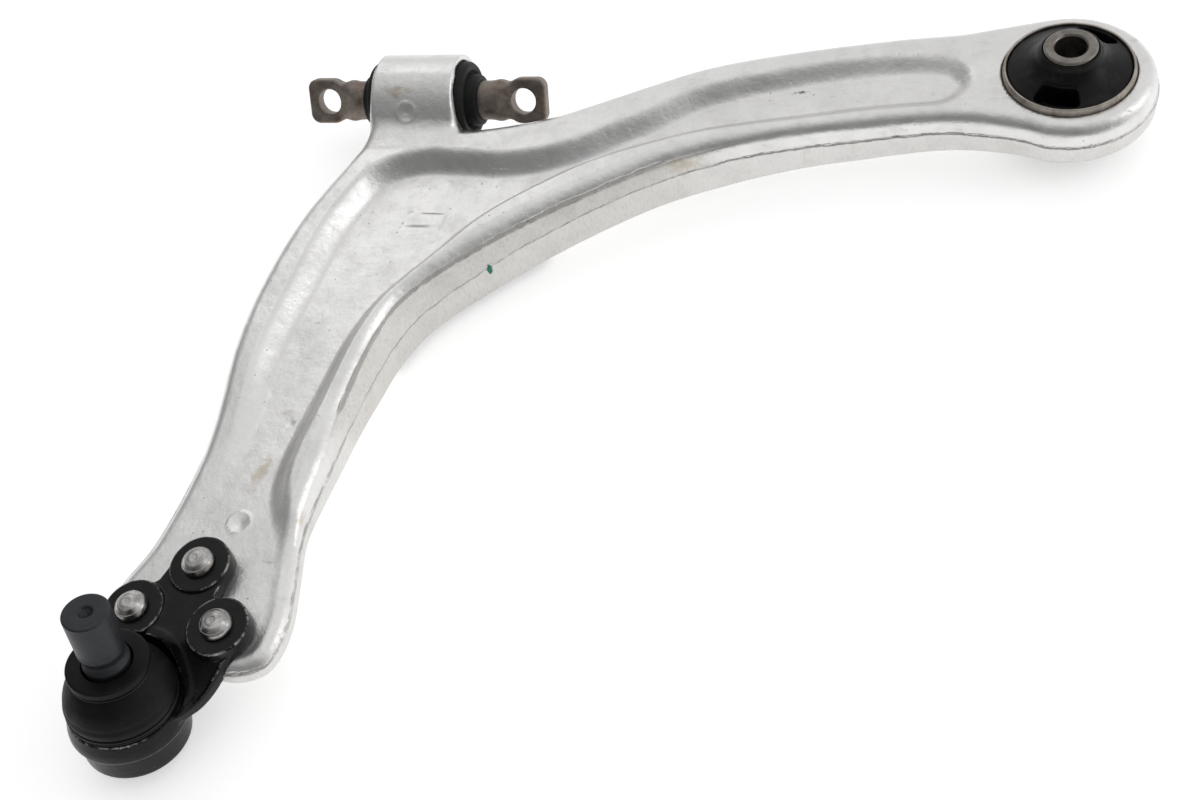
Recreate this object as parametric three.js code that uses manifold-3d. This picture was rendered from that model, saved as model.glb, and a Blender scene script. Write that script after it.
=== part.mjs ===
// Lower control arm for a front suspension, left-hand side, modelled in millimetres with +Z up.
// +X runs along the bar pin of the front bush, +Y points inboard, +Z is the axis of the rear bush.
// All plan dimensions are taken from the rear bush axis; heights are taken from the flat top of the
// rear eye. The whole group is moved at the end so that its origin is the middle of its underside.
import * as THREE from 'three';
import { mergeVertices } from 'three/addons/utils/BufferGeometryUtils.js';
import Module from 'manifold-3d';

const wasm = await Module();
wasm.setup();

const DEG = Math.PI / 180;
const CLEARANCE = 0.3; // gap left between neighbouring pieces

// ---- arm forging -------------------------------------------------------------------------------
const EYE_RADIUS = 39.5;
const PARTING_Z = -10;
const EDGE_ROUND = 4.5;
const RIM_SLOPE = 5;
const BODY_TOP = 0;
const BODY_BOTTOM = -20;
// stations along the middle of the arm: plan position, crest height, underside, web floor, lower web
const STATIONS = [
  { x: 0, y: 0, crest: 0, under: -21, floor: -5.5, lowerFloor: -15 },
  { x: -56, y: 0, crest: 0.3, under: -23, floor: -5.5, lowerFloor: -15.5 },
  { x: -119, y: -12, crest: 1, under: -25.5, floor: -6, lowerFloor: -17 },
  { x: -165, y: -24, crest: 1.5, under: -29, floor: -6.5, lowerFloor: -19 },
  { x: -208, y: -46, crest: 2, under: -29, floor: -7, lowerFloor: -19.5 },
  { x: -243, y: -66, crest: 2.5, under: -30.5, floor: -7, lowerFloor: -20.5 },
  { x: -285, y: -95, crest: 2.8, under: -33, floor: -7, lowerFloor: -21.5 },
  { x: -318, y: -140, crest: 2.5, under: -32.5, floor: -7, lowerFloor: -21.5 },
  { x: -328, y: -185, crest: 2, under: -28.5, floor: -6.5, lowerFloor: -19.5 },
  { x: -329, y: -228, crest: 1.2, under: -21, floor: -6, lowerFloor: -15.5 },
  { x: -330, y: -262, crest: 0, under: -16.5, floor: -5.5, lowerFloor: -13 },
  { x: -334, y: -320, crest: -0.5, under: -16, floor: -5.5, lowerFloor: -13 },
];
// inboard and front edge of the arm in plan, from the rear eye to the ball joint end
const BACK_EDGE = [
  [-32, 33], [-50, 28.8], [-69, 26.8], [-101, 21.8], [-144, 13.1], [-172, 4.8], [-190, -3.4],
  [-219, -18], [-238, -27.3], [-256, -33], [-272, -36.5], [-284, -37.5], [-289.5, -36], [-290, -24],
  [-333, -24], [-333.6, -36], [-336, -43], [-344.5, -59], [-357, -99], [-362.5, -140],
  [-362.5, -176], [-360, -215], [-360.5, -238], [-366, -278], [-373.5, -298], [-374.6, -311],
  [-368, -325], [-350, -332],
];
// outboard, concave edge from the ball joint end back to the rear eye
const CONCAVE_EDGE = [
  [-325, -332], [-307, -332], [-297.5, -327], [-294, -318], [-293.5, -306], [-296.5, -288],
  [-300, -268], [-299.5, -249], [-298, -228], [-297, -207], [-295, -185], [-292, -166],
  [-286, -148], [-275, -133], [-259, -117], [-243, -103], [-226, -90], [-208, -77.5],
  [-183, -62], [-165, -53.5], [-147, -47], [-119, -40], [-92, -35.5], [-74, -32.5],
  [-56, -30.5], [-40, -31],
];
// floor of the recessed web, from its rounded rear end along the back rib and round the corner
const WEB_BACK_SIDE = [
  [-48.5, -5], [-54, 2.5], [-77, 4], [-96, 2], [-114, -1], [-133, -6], [-152, -11], [-171, -19],
  [-188, -31], [-206, -42], [-224, -53], [-242, -60], [-262, -63], [-280, -62], [-299, -62],
  [-313, -66], [-321, -73], [-327, -86], [-333, -106], [-336, -128], [-339, -153],
  [-341, -176], [-341, -201], [-340, -223], [-341, -240],
];
const WEB_CONCAVE_SIDE = [
  [-318, -246], [-318, -230], [-316, -214], [-313, -192], [-309, -166], [-302, -145],
  [-292, -129], [-281, -114], [-270, -98], [-258, -85], [-241, -71], [-223, -58], [-205, -48.5],
  [-184, -40], [-166, -34], [-148, -30], [-120, -25], [-92, -20], [-74, -17.5], [-55, -14.5],
];
// the upper web opens on to the flat pad that carries the ball joint
const PAD_EDGE = [
  [-350, -254], [-366, -265], [-382, -278], [-386, -310], [-384, -345], [-345, -350], [-307, -345],
  [-303, -329], [-300.5, -318], [-300.5, -303], [-303, -288], [-307, -272], [-314, -260],
];
const LOWER_WEB_END = [[-338, -250], [-329, -254], [-321, -251]];

// ---- front bush --------------------------------------------------------------------------------
const BARREL_X = -310.8;
const BARREL_Y = -16.7;
const BARREL_Z = -1.8;
const BARREL_WIDTH = 41.8;
const BARREL_RADIUS = 22.5;
const BARREL_BORE = 19.4;
const PIN_RADIUS = 9.6;
const PIN_SHAFT_HALF = 41.2;
const EAR_HALF_SPACING = 52.4;
const EAR_END = 63.8;
const EAR_HALF_HEIGHT = 11.2;
const EAR_THICKNESS = 7;
const EAR_HOLE_RADIUS = 6.3;
const EAR_TILT = 57 * DEG;

// ---- rear bush ---------------------------------------------------------------------------------
const CAN_RADIUS = 30;
const CAN_WALL = 2.1;
const CAN_TOP = 2.7;
const CAN_BOTTOM = -22.7;
const SLEEVE_RADIUS = 12.1;
const SLEEVE_BORE = 7.1;
const SLEEVE_TOP = 14.5;
const SLEEVE_BOTTOM = -34.5;

// ---- ball joint --------------------------------------------------------------------------------
const JOINT_BASE = new THREE.Vector3(-350.3, -347.8, -6.4); // middle of the boot's seat on the cup
const JOINT_AXIS = new THREE.Vector3(0.1, 0.21, 0.9726).normalize();
const BALL_RADIUS = 11;
const BALL_S = -9.8; // distance of the ball centre along the joint axis from the boot's seat
const CUP_RADIUS = 22;
const BEAD_RADIUS = 24.3; // the cup widens to this bead under the boot
const CUP_END_S = -24.2;
const BOOT_SEAT_RADIUS = 23.6;
const LUGS = [[-335.3, -289.6], [-357.2, -311.9], [-317.4, -316.2]];
const LUG_RADIUS = 13.1;
const LUG_TOP = 2;
const PLATE_TOP = 0.4;
const PAD_TOP = -5.5;
const RIVET_SHANK = 4.6;
const RIVET_HEAD = 7;
const STUD_RADIUS = 9.2;
const STUD_TOP_S = 55;

// moves the finished group so that its origin lies in the middle of its underside
const ORIGIN = new THREE.Vector3(-168.282, -167.319, -34.5);

// ---- helpers -----------------------------------------------------------------------------------
function solid(geometry) {
  const bare = geometry.index ? geometry.toNonIndexed() : geometry.clone();
  bare.deleteAttribute('normal');
  bare.deleteAttribute('uv');
  const merged = mergeVertices(bare, 1e-4);
  return new wasm.Manifold(new wasm.Mesh({
    numProp: 3,
    vertProperties: new Float32Array(merged.attributes.position.array),
    triVerts: new Uint32Array(merged.index.array),
  }));
}

function geometryOf(manifold) {
  const mesh = manifold.getMesh();
  const geometry = new THREE.BufferGeometry();
  geometry.setAttribute('position', new THREE.BufferAttribute(new Float32Array(mesh.vertProperties), 3));
  geometry.setIndex(new THREE.BufferAttribute(new Uint32Array(mesh.triVerts), 1));
  geometry.computeVertexNormals();
  return geometry;
}

// solid of revolution about +Z; the profile is a list of [radius, height] pairs
function revolve(profile, segments = 24) {
  const points = profile.map(([r, z]) => new THREE.Vector2(r, z));
  const onAxis = points[0].x === 0 && points[points.length - 1].x === 0;
  const area = THREE.ShapeUtils.area(points);
  if (area < 0) points.reverse();
  if (!onAxis) points.push(points[0].clone());
  const lathe = new THREE.LatheGeometry(points, segments);
  lathe.rotateX(Math.PI / 2);
  return solid(lathe);
}

function roundBar(radius, from, to, segments = 24) {
  return revolve([[0, from], [radius, from], [radius, to], [0, to]], segments);
}

function prism(points, from, to, bevel = 0, slope = 0, bevelSegments = 1) {
  const shape = new THREE.Shape(points.map(([x, y]) => new THREE.Vector2(x, y)));
  const extrude = new THREE.ExtrudeGeometry(shape, {
    depth: to - from - 2 * bevel,
    bevelEnabled: bevel > 0,
    bevelThickness: bevel,
    bevelSize: slope,
    bevelOffset: -slope,
    bevelSegments,
    curveSegments: 8,
  });
  extrude.translate(0, 0, from + bevel);
  return extrude;
}

// closed, smooth outline through a list of plan points
function smoothOutline(points, count) {
  const curve = new THREE.CatmullRomCurve3(
    points.map(([x, y]) => new THREE.Vector3(x, y, 0)), true, 'centripetal');
  const ring = curve.getSpacedPoints(count).slice(0, count);
  return ring.map((p) => [p.x, p.y]);
}

function arc(cx, cy, radius, fromDeg, toDeg, count) {
  const points = [];
  for (let i = 0; i <= count; i += 1) {
    const a = (fromDeg + (toDeg - fromDeg) * i / count) * DEG;
    points.push([cx + radius * Math.cos(a), cy + radius * Math.sin(a)]);
  }
  return points;
}

// heights of the arm at a plan position, taken from the nearest place on the station line
function heightsAt(x, y) {
  let best = { distance: Infinity };
  for (let i = 0; i + 1 < STATIONS.length; i += 1) {
    const a = STATIONS[i];
    const b = STATIONS[i + 1];
    const dx = b.x - a.x;
    const dy = b.y - a.y;
    const along = ((x - a.x) * dx + (y - a.y) * dy) / (dx * dx + dy * dy);
    const t = THREE.MathUtils.clamp(along, 0, 1);
    const distance = Math.hypot(a.x + t * dx - x, a.y + t * dy - y);
    if (distance < best.distance) best = { distance, a, b, t };
  }
  const mix = (key) => THREE.MathUtils.lerp(best.a[key], best.b[key], best.t);
  return { crest: mix('crest'), under: mix('under'), floor: mix('floor'), lower: mix('lowerFloor') };
}

function reshape(geometry, newHeight) {
  const position = geometry.attributes.position;
  for (let i = 0; i < position.count; i += 1) {
    const x = position.getX(i);
    const y = position.getY(i);
    position.setZ(i, newHeight(position.getZ(i), heightsAt(x, y)));
  }
  return geometry;
}

const jointTurn = new THREE.Quaternion().setFromUnitVectors(new THREE.Vector3(0, 0, 1), JOINT_AXIS);
const jointMatrix = new THREE.Matrix4().compose(JOINT_BASE, jointTurn, new THREE.Vector3(1, 1, 1));

function placed(manifold, matrix) {
  const geometry = geometryOf(manifold);
  geometry.applyMatrix4(matrix);
  return solid(geometry);
}

const onJoint = (manifold) => placed(manifold, jointMatrix);
const barrelMatrix = new THREE.Matrix4().makeRotationY(Math.PI / 2)
  .setPosition(BARREL_X, BARREL_Y, BARREL_Z);
const onBarrel = (manifold) => placed(manifold, barrelMatrix);
const at = (manifold, x, y, z) => placed(manifold, new THREE.Matrix4().makeTranslation(x, y, z));

// ---- arm forging -------------------------------------------------------------------------------
function armForging() {
  const eye = arc(0, 0, EYE_RADIUS, -118, 100, 16);
  const outline = smoothOutline([...eye, ...BACK_EDGE, ...CONCAVE_EDGE], 104);
  const body = reshape(prism(outline, BODY_BOTTOM, BODY_TOP, EDGE_ROUND, EDGE_ROUND * 0.8, 2),
    (z, h) => {
      if (z > PARTING_Z) return PARTING_Z + (z - PARTING_Z) * (h.crest - PARTING_Z) / 10;
      return PARTING_Z + (z - PARTING_Z) * (PARTING_Z - h.under) / 10;
    });
  const upperWeb = smoothOutline([...WEB_BACK_SIDE, ...PAD_EDGE, ...WEB_CONCAVE_SIDE], 60);
  const upperPocket = reshape(prism(upperWeb, 0, 30, RIM_SLOPE, -RIM_SLOPE),
    (z, h) => z + h.floor);
  const lowerWeb = smoothOutline([...WEB_BACK_SIDE, ...LOWER_WEB_END, ...WEB_CONCAVE_SIDE], 48);
  const lowerPocket = reshape(prism(lowerWeb, -30, 0, RIM_SLOPE, -RIM_SLOPE),
    (z, h) => z + h.lower);
  let arm = solid(body).subtract(solid(upperPocket)).subtract(solid(lowerPocket));

  const half = BARREL_WIDTH / 2;
  const neckProfile = [[-20, -22], [-48, -25], [-50, 1.5], [-42, 4.5], [-36.5, 8], [-20, 8]];
  const neck = prism(neckProfile, -half + 0.5, half - 0.5);
  neck.rotateY(Math.PI / 2);
  neck.rotateX(Math.PI / 2);
  neck.translate(BARREL_X, 0, 0);
  const barrel = revolve([[0, -half], [BARREL_RADIUS - 1, -half], [BARREL_RADIUS, -half + 1],
    [BARREL_RADIUS, half - 1], [BARREL_RADIUS - 1, half], [0, half]], 28);
  arm = arm.add(solid(neck)).add(onBarrel(barrel));
  arm = arm.subtract(onBarrel(roundBar(BARREL_BORE, -40, 40, 28)));
  arm = arm.subtract(roundBar(CAN_RADIUS + CLEARANCE, -60, 60, 36));
  arm = arm.subtract(onJoint(roundBar(28, -40, 30, 32)));
  for (const [x, y] of LUGS) {
    arm = arm.subtract(at(roundBar(RIVET_SHANK + CLEARANCE, -40, 20, 12), x, y, 0));
  }
  return arm;
}

// ---- front bush --------------------------------------------------------------------------------
function frontSleeve() {
  const outer = BARREL_BORE - CLEARANCE;
  const half = BARREL_WIDTH / 2 - 1;
  return onBarrel(revolve([[outer - 1.2, -half], [outer, -half], [outer, half], [outer - 1.2, half]], 28));
}

function frontRubber() {
  const outer = BARREL_BORE - 2 * CLEARANCE - 1.2;
  const inner = PIN_RADIUS + CLEARANCE;
  const lip = BARREL_BORE - CLEARANCE;
  const half = BARREL_WIDTH / 2;
  const right = [[outer, half - 0.6], [lip, half - 0.6], [lip, half + 2.4], [lip - 0.9, half + 4],
    [15.4, half + 4.6], [13.8, half + 3], [13.2, half + 4.2], [12.6, half + 8.6], [11.6, half + 9.6],
    [inner, half + 9.6]];
  const left = right.slice().reverse().map(([r, x]) => [r, -x]);
  return onBarrel(revolve([...left, ...right], 28));
}

function barPin() {
  const taper = PIN_SHAFT_HALF;
  let pin = revolve([[0, -taper - 3], [5, -taper - 3], [PIN_RADIUS, -taper + 3],
    [PIN_RADIUS, taper - 3], [5, taper + 3], [0, taper + 3]], 20);
  pin = placed(pin, new THREE.Matrix4().makeRotationY(Math.PI / 2));
  for (const side of [-1, 1]) {
    const corner = 4.8;
    const end = EAR_END - corner;
    const h = EAR_HALF_HEIGHT;
    const waves = [[PIN_SHAFT_HALF - 4, h - 1.8], [PIN_SHAFT_HALF - 1, h - 0.8],
      [PIN_SHAFT_HALF + 3.8, h - 2.4], [PIN_SHAFT_HALF + 8, h]];
    const ear = [...waves.map(([x, y]) => [x, -y]),
      ...arc(end, -h + corner, corner, -90, 0, 4), ...arc(end, h - corner, corner, 0, 90, 4),
      ...waves.reverse()];
    const slab = prism(ear, -EAR_THICKNESS / 2, EAR_THICKNESS / 2);
    if (side < 0) slab.rotateZ(Math.PI);
    const hole = at(roundBar(EAR_HOLE_RADIUS, -20, 20, 20), side * EAR_HALF_SPACING, 0, 0);
    pin = pin.add(solid(slab)).subtract(hole);
  }
  const matrix = new THREE.Matrix4().makeRotationX(EAR_TILT).setPosition(BARREL_X, BARREL_Y, BARREL_Z);
  return placed(pin, matrix);
}

// ---- rear bush ---------------------------------------------------------------------------------
function rearCan() {
  const inner = CAN_RADIUS - CAN_WALL;
  return revolve([[inner, CAN_BOTTOM], [CAN_RADIUS - 0.8, CAN_BOTTOM], [CAN_RADIUS, CAN_BOTTOM + 1.5],
    [CAN_RADIUS, CAN_TOP - 1.5], [CAN_RADIUS - 0.8, CAN_TOP], [inner, CAN_TOP]], 36);
}

function rearRubber() {
  const outer = CAN_RADIUS - CAN_WALL - CLEARANCE;
  const inner = SLEEVE_RADIUS + CLEARANCE;
  const middle = (SLEEVE_TOP + SLEEVE_BOTTOM) / 2;
  const half = [[outer, 0], [outer, 11.4], [outer - 2, 12.3], [21, 15], [16, 19], [14, 22.6], [inner, 23.2]];
  const upper = half.map(([r, z]) => [r, middle + z]);
  const lower = half.slice(1).reverse().map(([r, z]) => [r, middle - z]);
  let rubber = revolve([...lower, ...upper], 28);
  for (const centre of [60, 257]) {
    const kidney = [...arc(0, 0, 26.2, centre - 24, centre + 24, 4),
      ...arc(0, 0, 18.3, centre + 24, centre - 24, 4)];
    const pocket = solid(prism(kidney, middle + 4, middle + 40));
    const lowerPocket = solid(prism(kidney, middle - 40, middle - 4));
    rubber = rubber.subtract(pocket).subtract(lowerPocket);
  }
  return rubber;
}

function rearSleeve() {
  const r = SLEEVE_RADIUS;
  const b = SLEEVE_BORE;
  return revolve([[b, SLEEVE_BOTTOM + 0.6], [b + 0.6, SLEEVE_BOTTOM], [r - 0.8, SLEEVE_BOTTOM],
    [r, SLEEVE_BOTTOM + 0.8], [r, SLEEVE_TOP - 0.8], [r - 0.8, SLEEVE_TOP], [b + 0.6, SLEEVE_TOP],
    [b, SLEEVE_TOP - 0.6]], 24);
}

// ---- ball joint --------------------------------------------------------------------------------
// prism round two circles and the straight tangents between them
function linkedCircles(ax, ay, ar, bx, by, br, from, to) {
  const along = Math.atan2(by - ay, bx - ax);
  const lean = Math.acos((ar - br) / Math.hypot(bx - ax, by - ay));
  const a0 = (along + lean) / DEG;
  const a1 = (along + 2 * Math.PI - lean) / DEG;
  const b0 = (along - lean) / DEG;
  const b1 = (along + lean) / DEG;
  return solid(prism([...arc(ax, ay, ar, a0, a1, 8), ...arc(bx, by, br, b0, b1, 8)], from, to));
}

// everything above the slope on which the plate falls away, past the lugs, to the rim of the cup
function rampCut() {
  const aboveRim = onJoint(at(solid(new THREE.BoxGeometry(90, 90, 60)), 0, 0, 29.5));
  const slope = new THREE.BoxGeometry(120, 90, 60);
  slope.translate(0, -45, 30);
  slope.rotateX(DEG * 18.6);
  slope.translate(JOINT_BASE.x, -322, PLATE_TOP);
  return solid(slope).intersect(aboveRim);
}

function jointHousing() {
  const cup = revolve([[11.2, -0.5], [12.2, -1.6], [12.2, -2.6], [15.9, -4], [15.9, -21.7],
    [18.3, -21.7], [18.3, -23.7], [17.4, CUP_END_S], [19.5, CUP_END_S], [CUP_RADIUS, -22.4],
    [CUP_RADIUS, -10.4], [BEAD_RADIUS - 0.5, -9.6], [BEAD_RADIUS, -8.5], [BEAD_RADIUS - 0.3, -6],
    [BEAD_RADIUS - 1.5, -2], [BEAD_RADIUS - 2, -0.5]], 28);
  const plateBottom = PAD_TOP + CLEARANCE;
  const [cx, cy] = [-349.9, -347];
  const links = (from, inset) => LUGS
    .map(([x, y]) => linkedCircles(x, y, LUG_RADIUS - inset, cx, cy, 23.2 - inset, from, PLATE_TOP))
    .reduce((a, b) => a.add(b));
  let plate = links(plateBottom, 0.6);
  for (const [x, y] of LUGS) {
    plate = plate.add(at(roundBar(LUG_RADIUS, plateBottom, LUG_TOP, 20), x, y, 0));
  }
  const wallBlank = onJoint(revolve([[15.9, -9], [27, -9], [27, 16], [15.9, 16]], 28));
  const wall = wallBlank.intersect(links(-40, 5));
  const boreForBoot = onJoint(roundBar(BOOT_SEAT_RADIUS, -0.5, 60, 28));
  const boreForStud = onJoint(roundBar(11.2, -3, 5, 24));
  const core = onJoint(roundBar(15.9, -21.7, -4, 28));
  let deck = wall.add(plate).subtract(rampCut());
  deck = deck.subtract(onJoint(roundBar(CUP_RADIUS - 2, -40, -2, 24)));
  let housing = onJoint(cup).add(deck).subtract(boreForBoot);
  housing = housing.subtract(core).subtract(boreForStud);
  for (const [x, y] of LUGS) {
    housing = housing.subtract(at(roundBar(RIVET_SHANK + CLEARANCE, -40, 20, 12), x, y, 0));
  }
  return housing;
}

function rivet(x, y) {
  const under = -17.5;
  const seat = LUG_TOP + CLEARANCE;
  const head = 6.4;
  return at(revolve([[0, under - 3.2], [4, under - 3], [6, under - 1.8], [head, under], [RIVET_SHANK, under],
    [RIVET_SHANK, seat], [RIVET_HEAD, seat], [RIVET_HEAD - 0.3, seat + 1.5], [5.2, seat + 3.2],
    [2.8, seat + 4.2], [0, seat + 4.4]], 16), x, y, 0);
}

function ballArc(radius, fromS, toS, count) {
  const points = [];
  const from = Math.asin((fromS - BALL_S) / radius);
  const to = Math.asin((toS - BALL_S) / radius);
  for (let i = 0; i <= count; i += 1) {
    const a = from + (to - from) * i / count;
    points.push([radius * Math.cos(a), BALL_S + radius * Math.sin(a)]);
  }
  return points;
}

function upperSeat() {
  const r = BALL_RADIUS + CLEARANCE;
  return onJoint(revolve([[15.6, BALL_S + 0.2], [15.6, -4.3], [12, -3.6],
    ...ballArc(r, -3.6, BALL_S + 0.2, 4)], 24));
}

function lowerSeat() {
  const r = BALL_RADIUS + CLEARANCE;
  return onJoint(revolve([[15.6, BALL_S - 0.2], [15.6, -18.6], [13, -20.4],
    ...ballArc(r, -20.2, BALL_S - 0.2, 4)], 24));
}

function preloadWasher() {
  return onJoint(revolve([[7, -20.9], [7, -21.5], [15.2, -21.1], [15.2, -20.5], [13, -20.7]], 20));
}

function coverPlate() {
  return onJoint(revolve([[0, -21.9], [17.9, -21.9], [17.9, -23.3], [12, -23.4], [10, -24.4], [0, -24.4]], 20));
}

function dustBoot() {
  return onJoint(revolve([[19, 0], [22.1, 0], [22.1, 1.2], [21.2, 1.7], [21.2, 3.1], [22.3, 4],
    [21.7, 8.5], [19.6, 13.6], [17, 17.6], [14.9, 19.6], [14.9, 21], [16.2, 21.8], [16.2, 24.6],
    [15.4, 25.1], [10, 25.1], [9.8, 22.5], [14.6, 16], [17.6, 8]], 24));
}

function wireRing(radius, s, r) {
  const points = [];
  for (let i = 0; i < 6; i += 1) {
    const a = i * Math.PI / 3;
    points.push([radius + r * Math.cos(a), s + r * Math.sin(a)]);
  }
  return onJoint(revolve(points, 20));
}

function ballStud() {
  const ball = ballArc(BALL_RADIUS, BALL_S - BALL_RADIUS * 0.94, BALL_S + BALL_RADIUS * 0.826, 7);
  return onJoint(revolve([[0, BALL_S - BALL_RADIUS * 0.94], ...ball, [6.2, 3], [7.4, 11], [8.8, 20],
    [9.2, 24.5], [9.3, 26.8], [8.6, 27.6], [7.9, 29.4], [8.1, 31.6], [STUD_RADIUS, 33.4],
    [STUD_RADIUS, STUD_TOP_S - 0.5], [STUD_RADIUS - 0.5, STUD_TOP_S], [4, STUD_TOP_S],
    [1.4, STUD_TOP_S - 1.8], [0, STUD_TOP_S - 2.2]], 24));
}

// ---- assembly ----------------------------------------------------------------------------------
const LOOKS = {
  aluminium: { color: 0xc9cacb, roughness: 0.38, metalness: 0.9 },
  bareSteel: { color: 0x8d8a86, roughness: 0.42, metalness: 0.9 },
  forgedPin: { color: 0x6f635c, roughness: 0.55, metalness: 0.8 },
  canSteel: { color: 0x857a70, roughness: 0.45, metalness: 0.85 },
  blackCoat: { color: 0x141414, roughness: 0.28, metalness: 0.3 },
  rubber: { color: 0x121212, roughness: 0.7, metalness: 0 },
  studSteel: { color: 0x3a3e45, roughness: 0.45, metalness: 0.8 },
  seatPlastic: { color: 0xd9d6cb, roughness: 0.5, metalness: 0 },
};

const object = new THREE.Group();
object.position.copy(ORIGIN).negate();

function addPiece(name, manifold, look) {
  const mesh = new THREE.Mesh(geometryOf(manifold), new THREE.MeshStandardMaterial(LOOKS[look]));
  mesh.name = name;
  object.add(mesh);
}

addPiece('arm_forging', armForging(), 'aluminium');
addPiece('front_bush_outer_sleeve', frontSleeve(), 'bareSteel');
addPiece('front_bush_rubber', frontRubber(), 'rubber');
addPiece('front_bush_bar_pin', barPin(), 'forgedPin');
addPiece('rear_bush_outer_can', rearCan(), 'canSteel');
addPiece('rear_bush_rubber', rearRubber(), 'rubber');
addPiece('rear_bush_inner_sleeve', rearSleeve(), 'bareSteel');
addPiece('ball_joint_housing', jointHousing(), 'blackCoat');
addPiece('ball_seat_upper', upperSeat(), 'seatPlastic');
addPiece('ball_seat_lower', lowerSeat(), 'seatPlastic');
addPiece('ball_seat_preload_washer', preloadWasher(), 'bareSteel');
addPiece('ball_joint_cover_plate', coverPlate(), 'blackCoat');
addPiece('ball_stud', ballStud(), 'studSteel');
addPiece('dust_boot', dustBoot(), 'rubber');
addPiece('boot_lower_clamp_ring', wireRing(22.1, 2.4, 0.6), 'blackCoat');
addPiece('boot_upper_clamp_ring', wireRing(15.6, 20.35, 0.5), 'blackCoat');
LUGS.forEach(([x, y], i) => addPiece(`rivet_${i + 1}`, rivet(x, y), 'bareSteel'));

export default object;
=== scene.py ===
import math
from itertools import product

import bpy
import numpy as np
from mathutils import Matrix, Vector


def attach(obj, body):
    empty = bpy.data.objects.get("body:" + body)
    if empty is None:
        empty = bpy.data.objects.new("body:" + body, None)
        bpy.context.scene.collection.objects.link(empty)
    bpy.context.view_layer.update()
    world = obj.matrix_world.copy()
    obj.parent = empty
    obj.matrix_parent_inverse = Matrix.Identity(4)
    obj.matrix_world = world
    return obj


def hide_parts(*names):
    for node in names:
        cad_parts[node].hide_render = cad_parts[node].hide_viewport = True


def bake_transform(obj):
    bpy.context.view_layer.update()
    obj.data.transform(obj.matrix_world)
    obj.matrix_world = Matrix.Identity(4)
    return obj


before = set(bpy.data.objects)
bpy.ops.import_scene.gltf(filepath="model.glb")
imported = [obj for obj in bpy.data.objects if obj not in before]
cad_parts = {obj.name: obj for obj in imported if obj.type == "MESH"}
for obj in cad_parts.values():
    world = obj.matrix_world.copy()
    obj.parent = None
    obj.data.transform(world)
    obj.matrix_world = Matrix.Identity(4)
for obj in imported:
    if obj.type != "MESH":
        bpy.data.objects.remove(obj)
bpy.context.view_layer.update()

# ------------------------------------------------------------------------------------------------
# Driving dimensions, in millimetres. Plan positions are taken from the rear bush axis and heights
# from the flat top of the rear eye; ORIGIN is where the model's own origin lies among them.
# ------------------------------------------------------------------------------------------------
ORIGIN = np.array((-168.282, -167.319, -34.5))

EYE_RADIUS = 39.5
# stations along the middle of the arm: x, y, crest height, underside, upper web, lower web, parting
STATIONS = np.array((
    (0, 0, 0, -21, -5.5, -15, -10.3),
    (-56, 0, 0.3, -23, -5.5, -15.5, -10.3),
    (-119, -12, 1, -25.5, -6, -17, -10.3),
    (-165, -24, 1.5, -29, -6.5, -19, -10.3),
    (-208, -46, 2, -29, -7, -19.5, -10.3),
    (-243, -66, 2.5, -30.5, -7, -20.5, -11.5),
    (-285, -95, 2.8, -33, -7, -21.5, -14),
    (-318, -140, 2.5, -32.5, -7, -21.5, -16),
    (-328, -185, 2, -28.5, -6.5, -19.5, -13),
    (-329, -228, 1.2, -21, -6, -15.5, -10),
    (-330, -262, 0, -16.5, -5.5, -13, -9),
    (-334, -320, -0.5, -16, -5.5, -13, -8.5),
), float)
# inboard and front edge of the arm in plan, from the rear eye to the ball joint end
BACK_EDGE = (
    (-32, 33), (-50, 28.8), (-69, 26.8), (-101, 21.8), (-144, 13.1), (-172, 4.8), (-190, -3.4),
    (-219, -18), (-238, -27.3), (-256, -33), (-272, -36.5), (-284, -37.5), (-289.5, -36), (-290, -24),
    (-333, -24), (-333.6, -36), (-334.4, -45), (-340.5, -61), (-354.5, -99), (-361.5, -140),
    (-362.5, -176), (-360, -215), (-360.5, -238), (-366, -278), (-373.5, -298), (-374.6, -311),
    (-368, -325), (-350, -332),
)
# outboard, concave edge from the ball joint end back to the rear eye
CONCAVE_EDGE = (
    (-325, -332), (-307, -332), (-297.5, -327), (-294, -318), (-293.5, -306), (-296.5, -288),
    (-300, -268), (-299.5, -249), (-298, -228), (-297, -207), (-295, -185), (-292, -166),
    (-286, -148), (-275, -133), (-259, -117), (-243, -103), (-226, -90), (-208, -77.5),
    (-183, -62), (-165, -53.5), (-147, -47), (-119, -40), (-92, -35.5), (-74, -32.5),
    (-56, -30.5), (-40, -31),
)
# floor of the recessed web, from its rounded rear end along the back rib and round the corner
WEB_BACK_SIDE = (
    (-48.5, -5), (-54, 2.5), (-77, 4), (-96, 2), (-114, -1), (-133, -6), (-152, -11), (-171, -19),
    (-188, -31), (-206, -42), (-224, -53), (-242, -60), (-262, -63), (-280, -62), (-299, -62),
    (-313, -66), (-321, -73), (-327, -86), (-333, -106), (-336, -128), (-339, -153),
    (-341, -176), (-341, -201), (-340, -223), (-341, -240),
)
WEB_CONCAVE_SIDE = (
    (-318, -246), (-318, -230), (-316, -214), (-313, -192), (-309, -166), (-302, -145),
    (-292, -129), (-281, -114), (-270, -98), (-258, -85), (-241, -71), (-223, -58), (-205, -48.5),
    (-184, -40), (-166, -34), (-148, -30), (-120, -25), (-92, -20), (-74, -17.5), (-55, -14.5),
)
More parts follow.
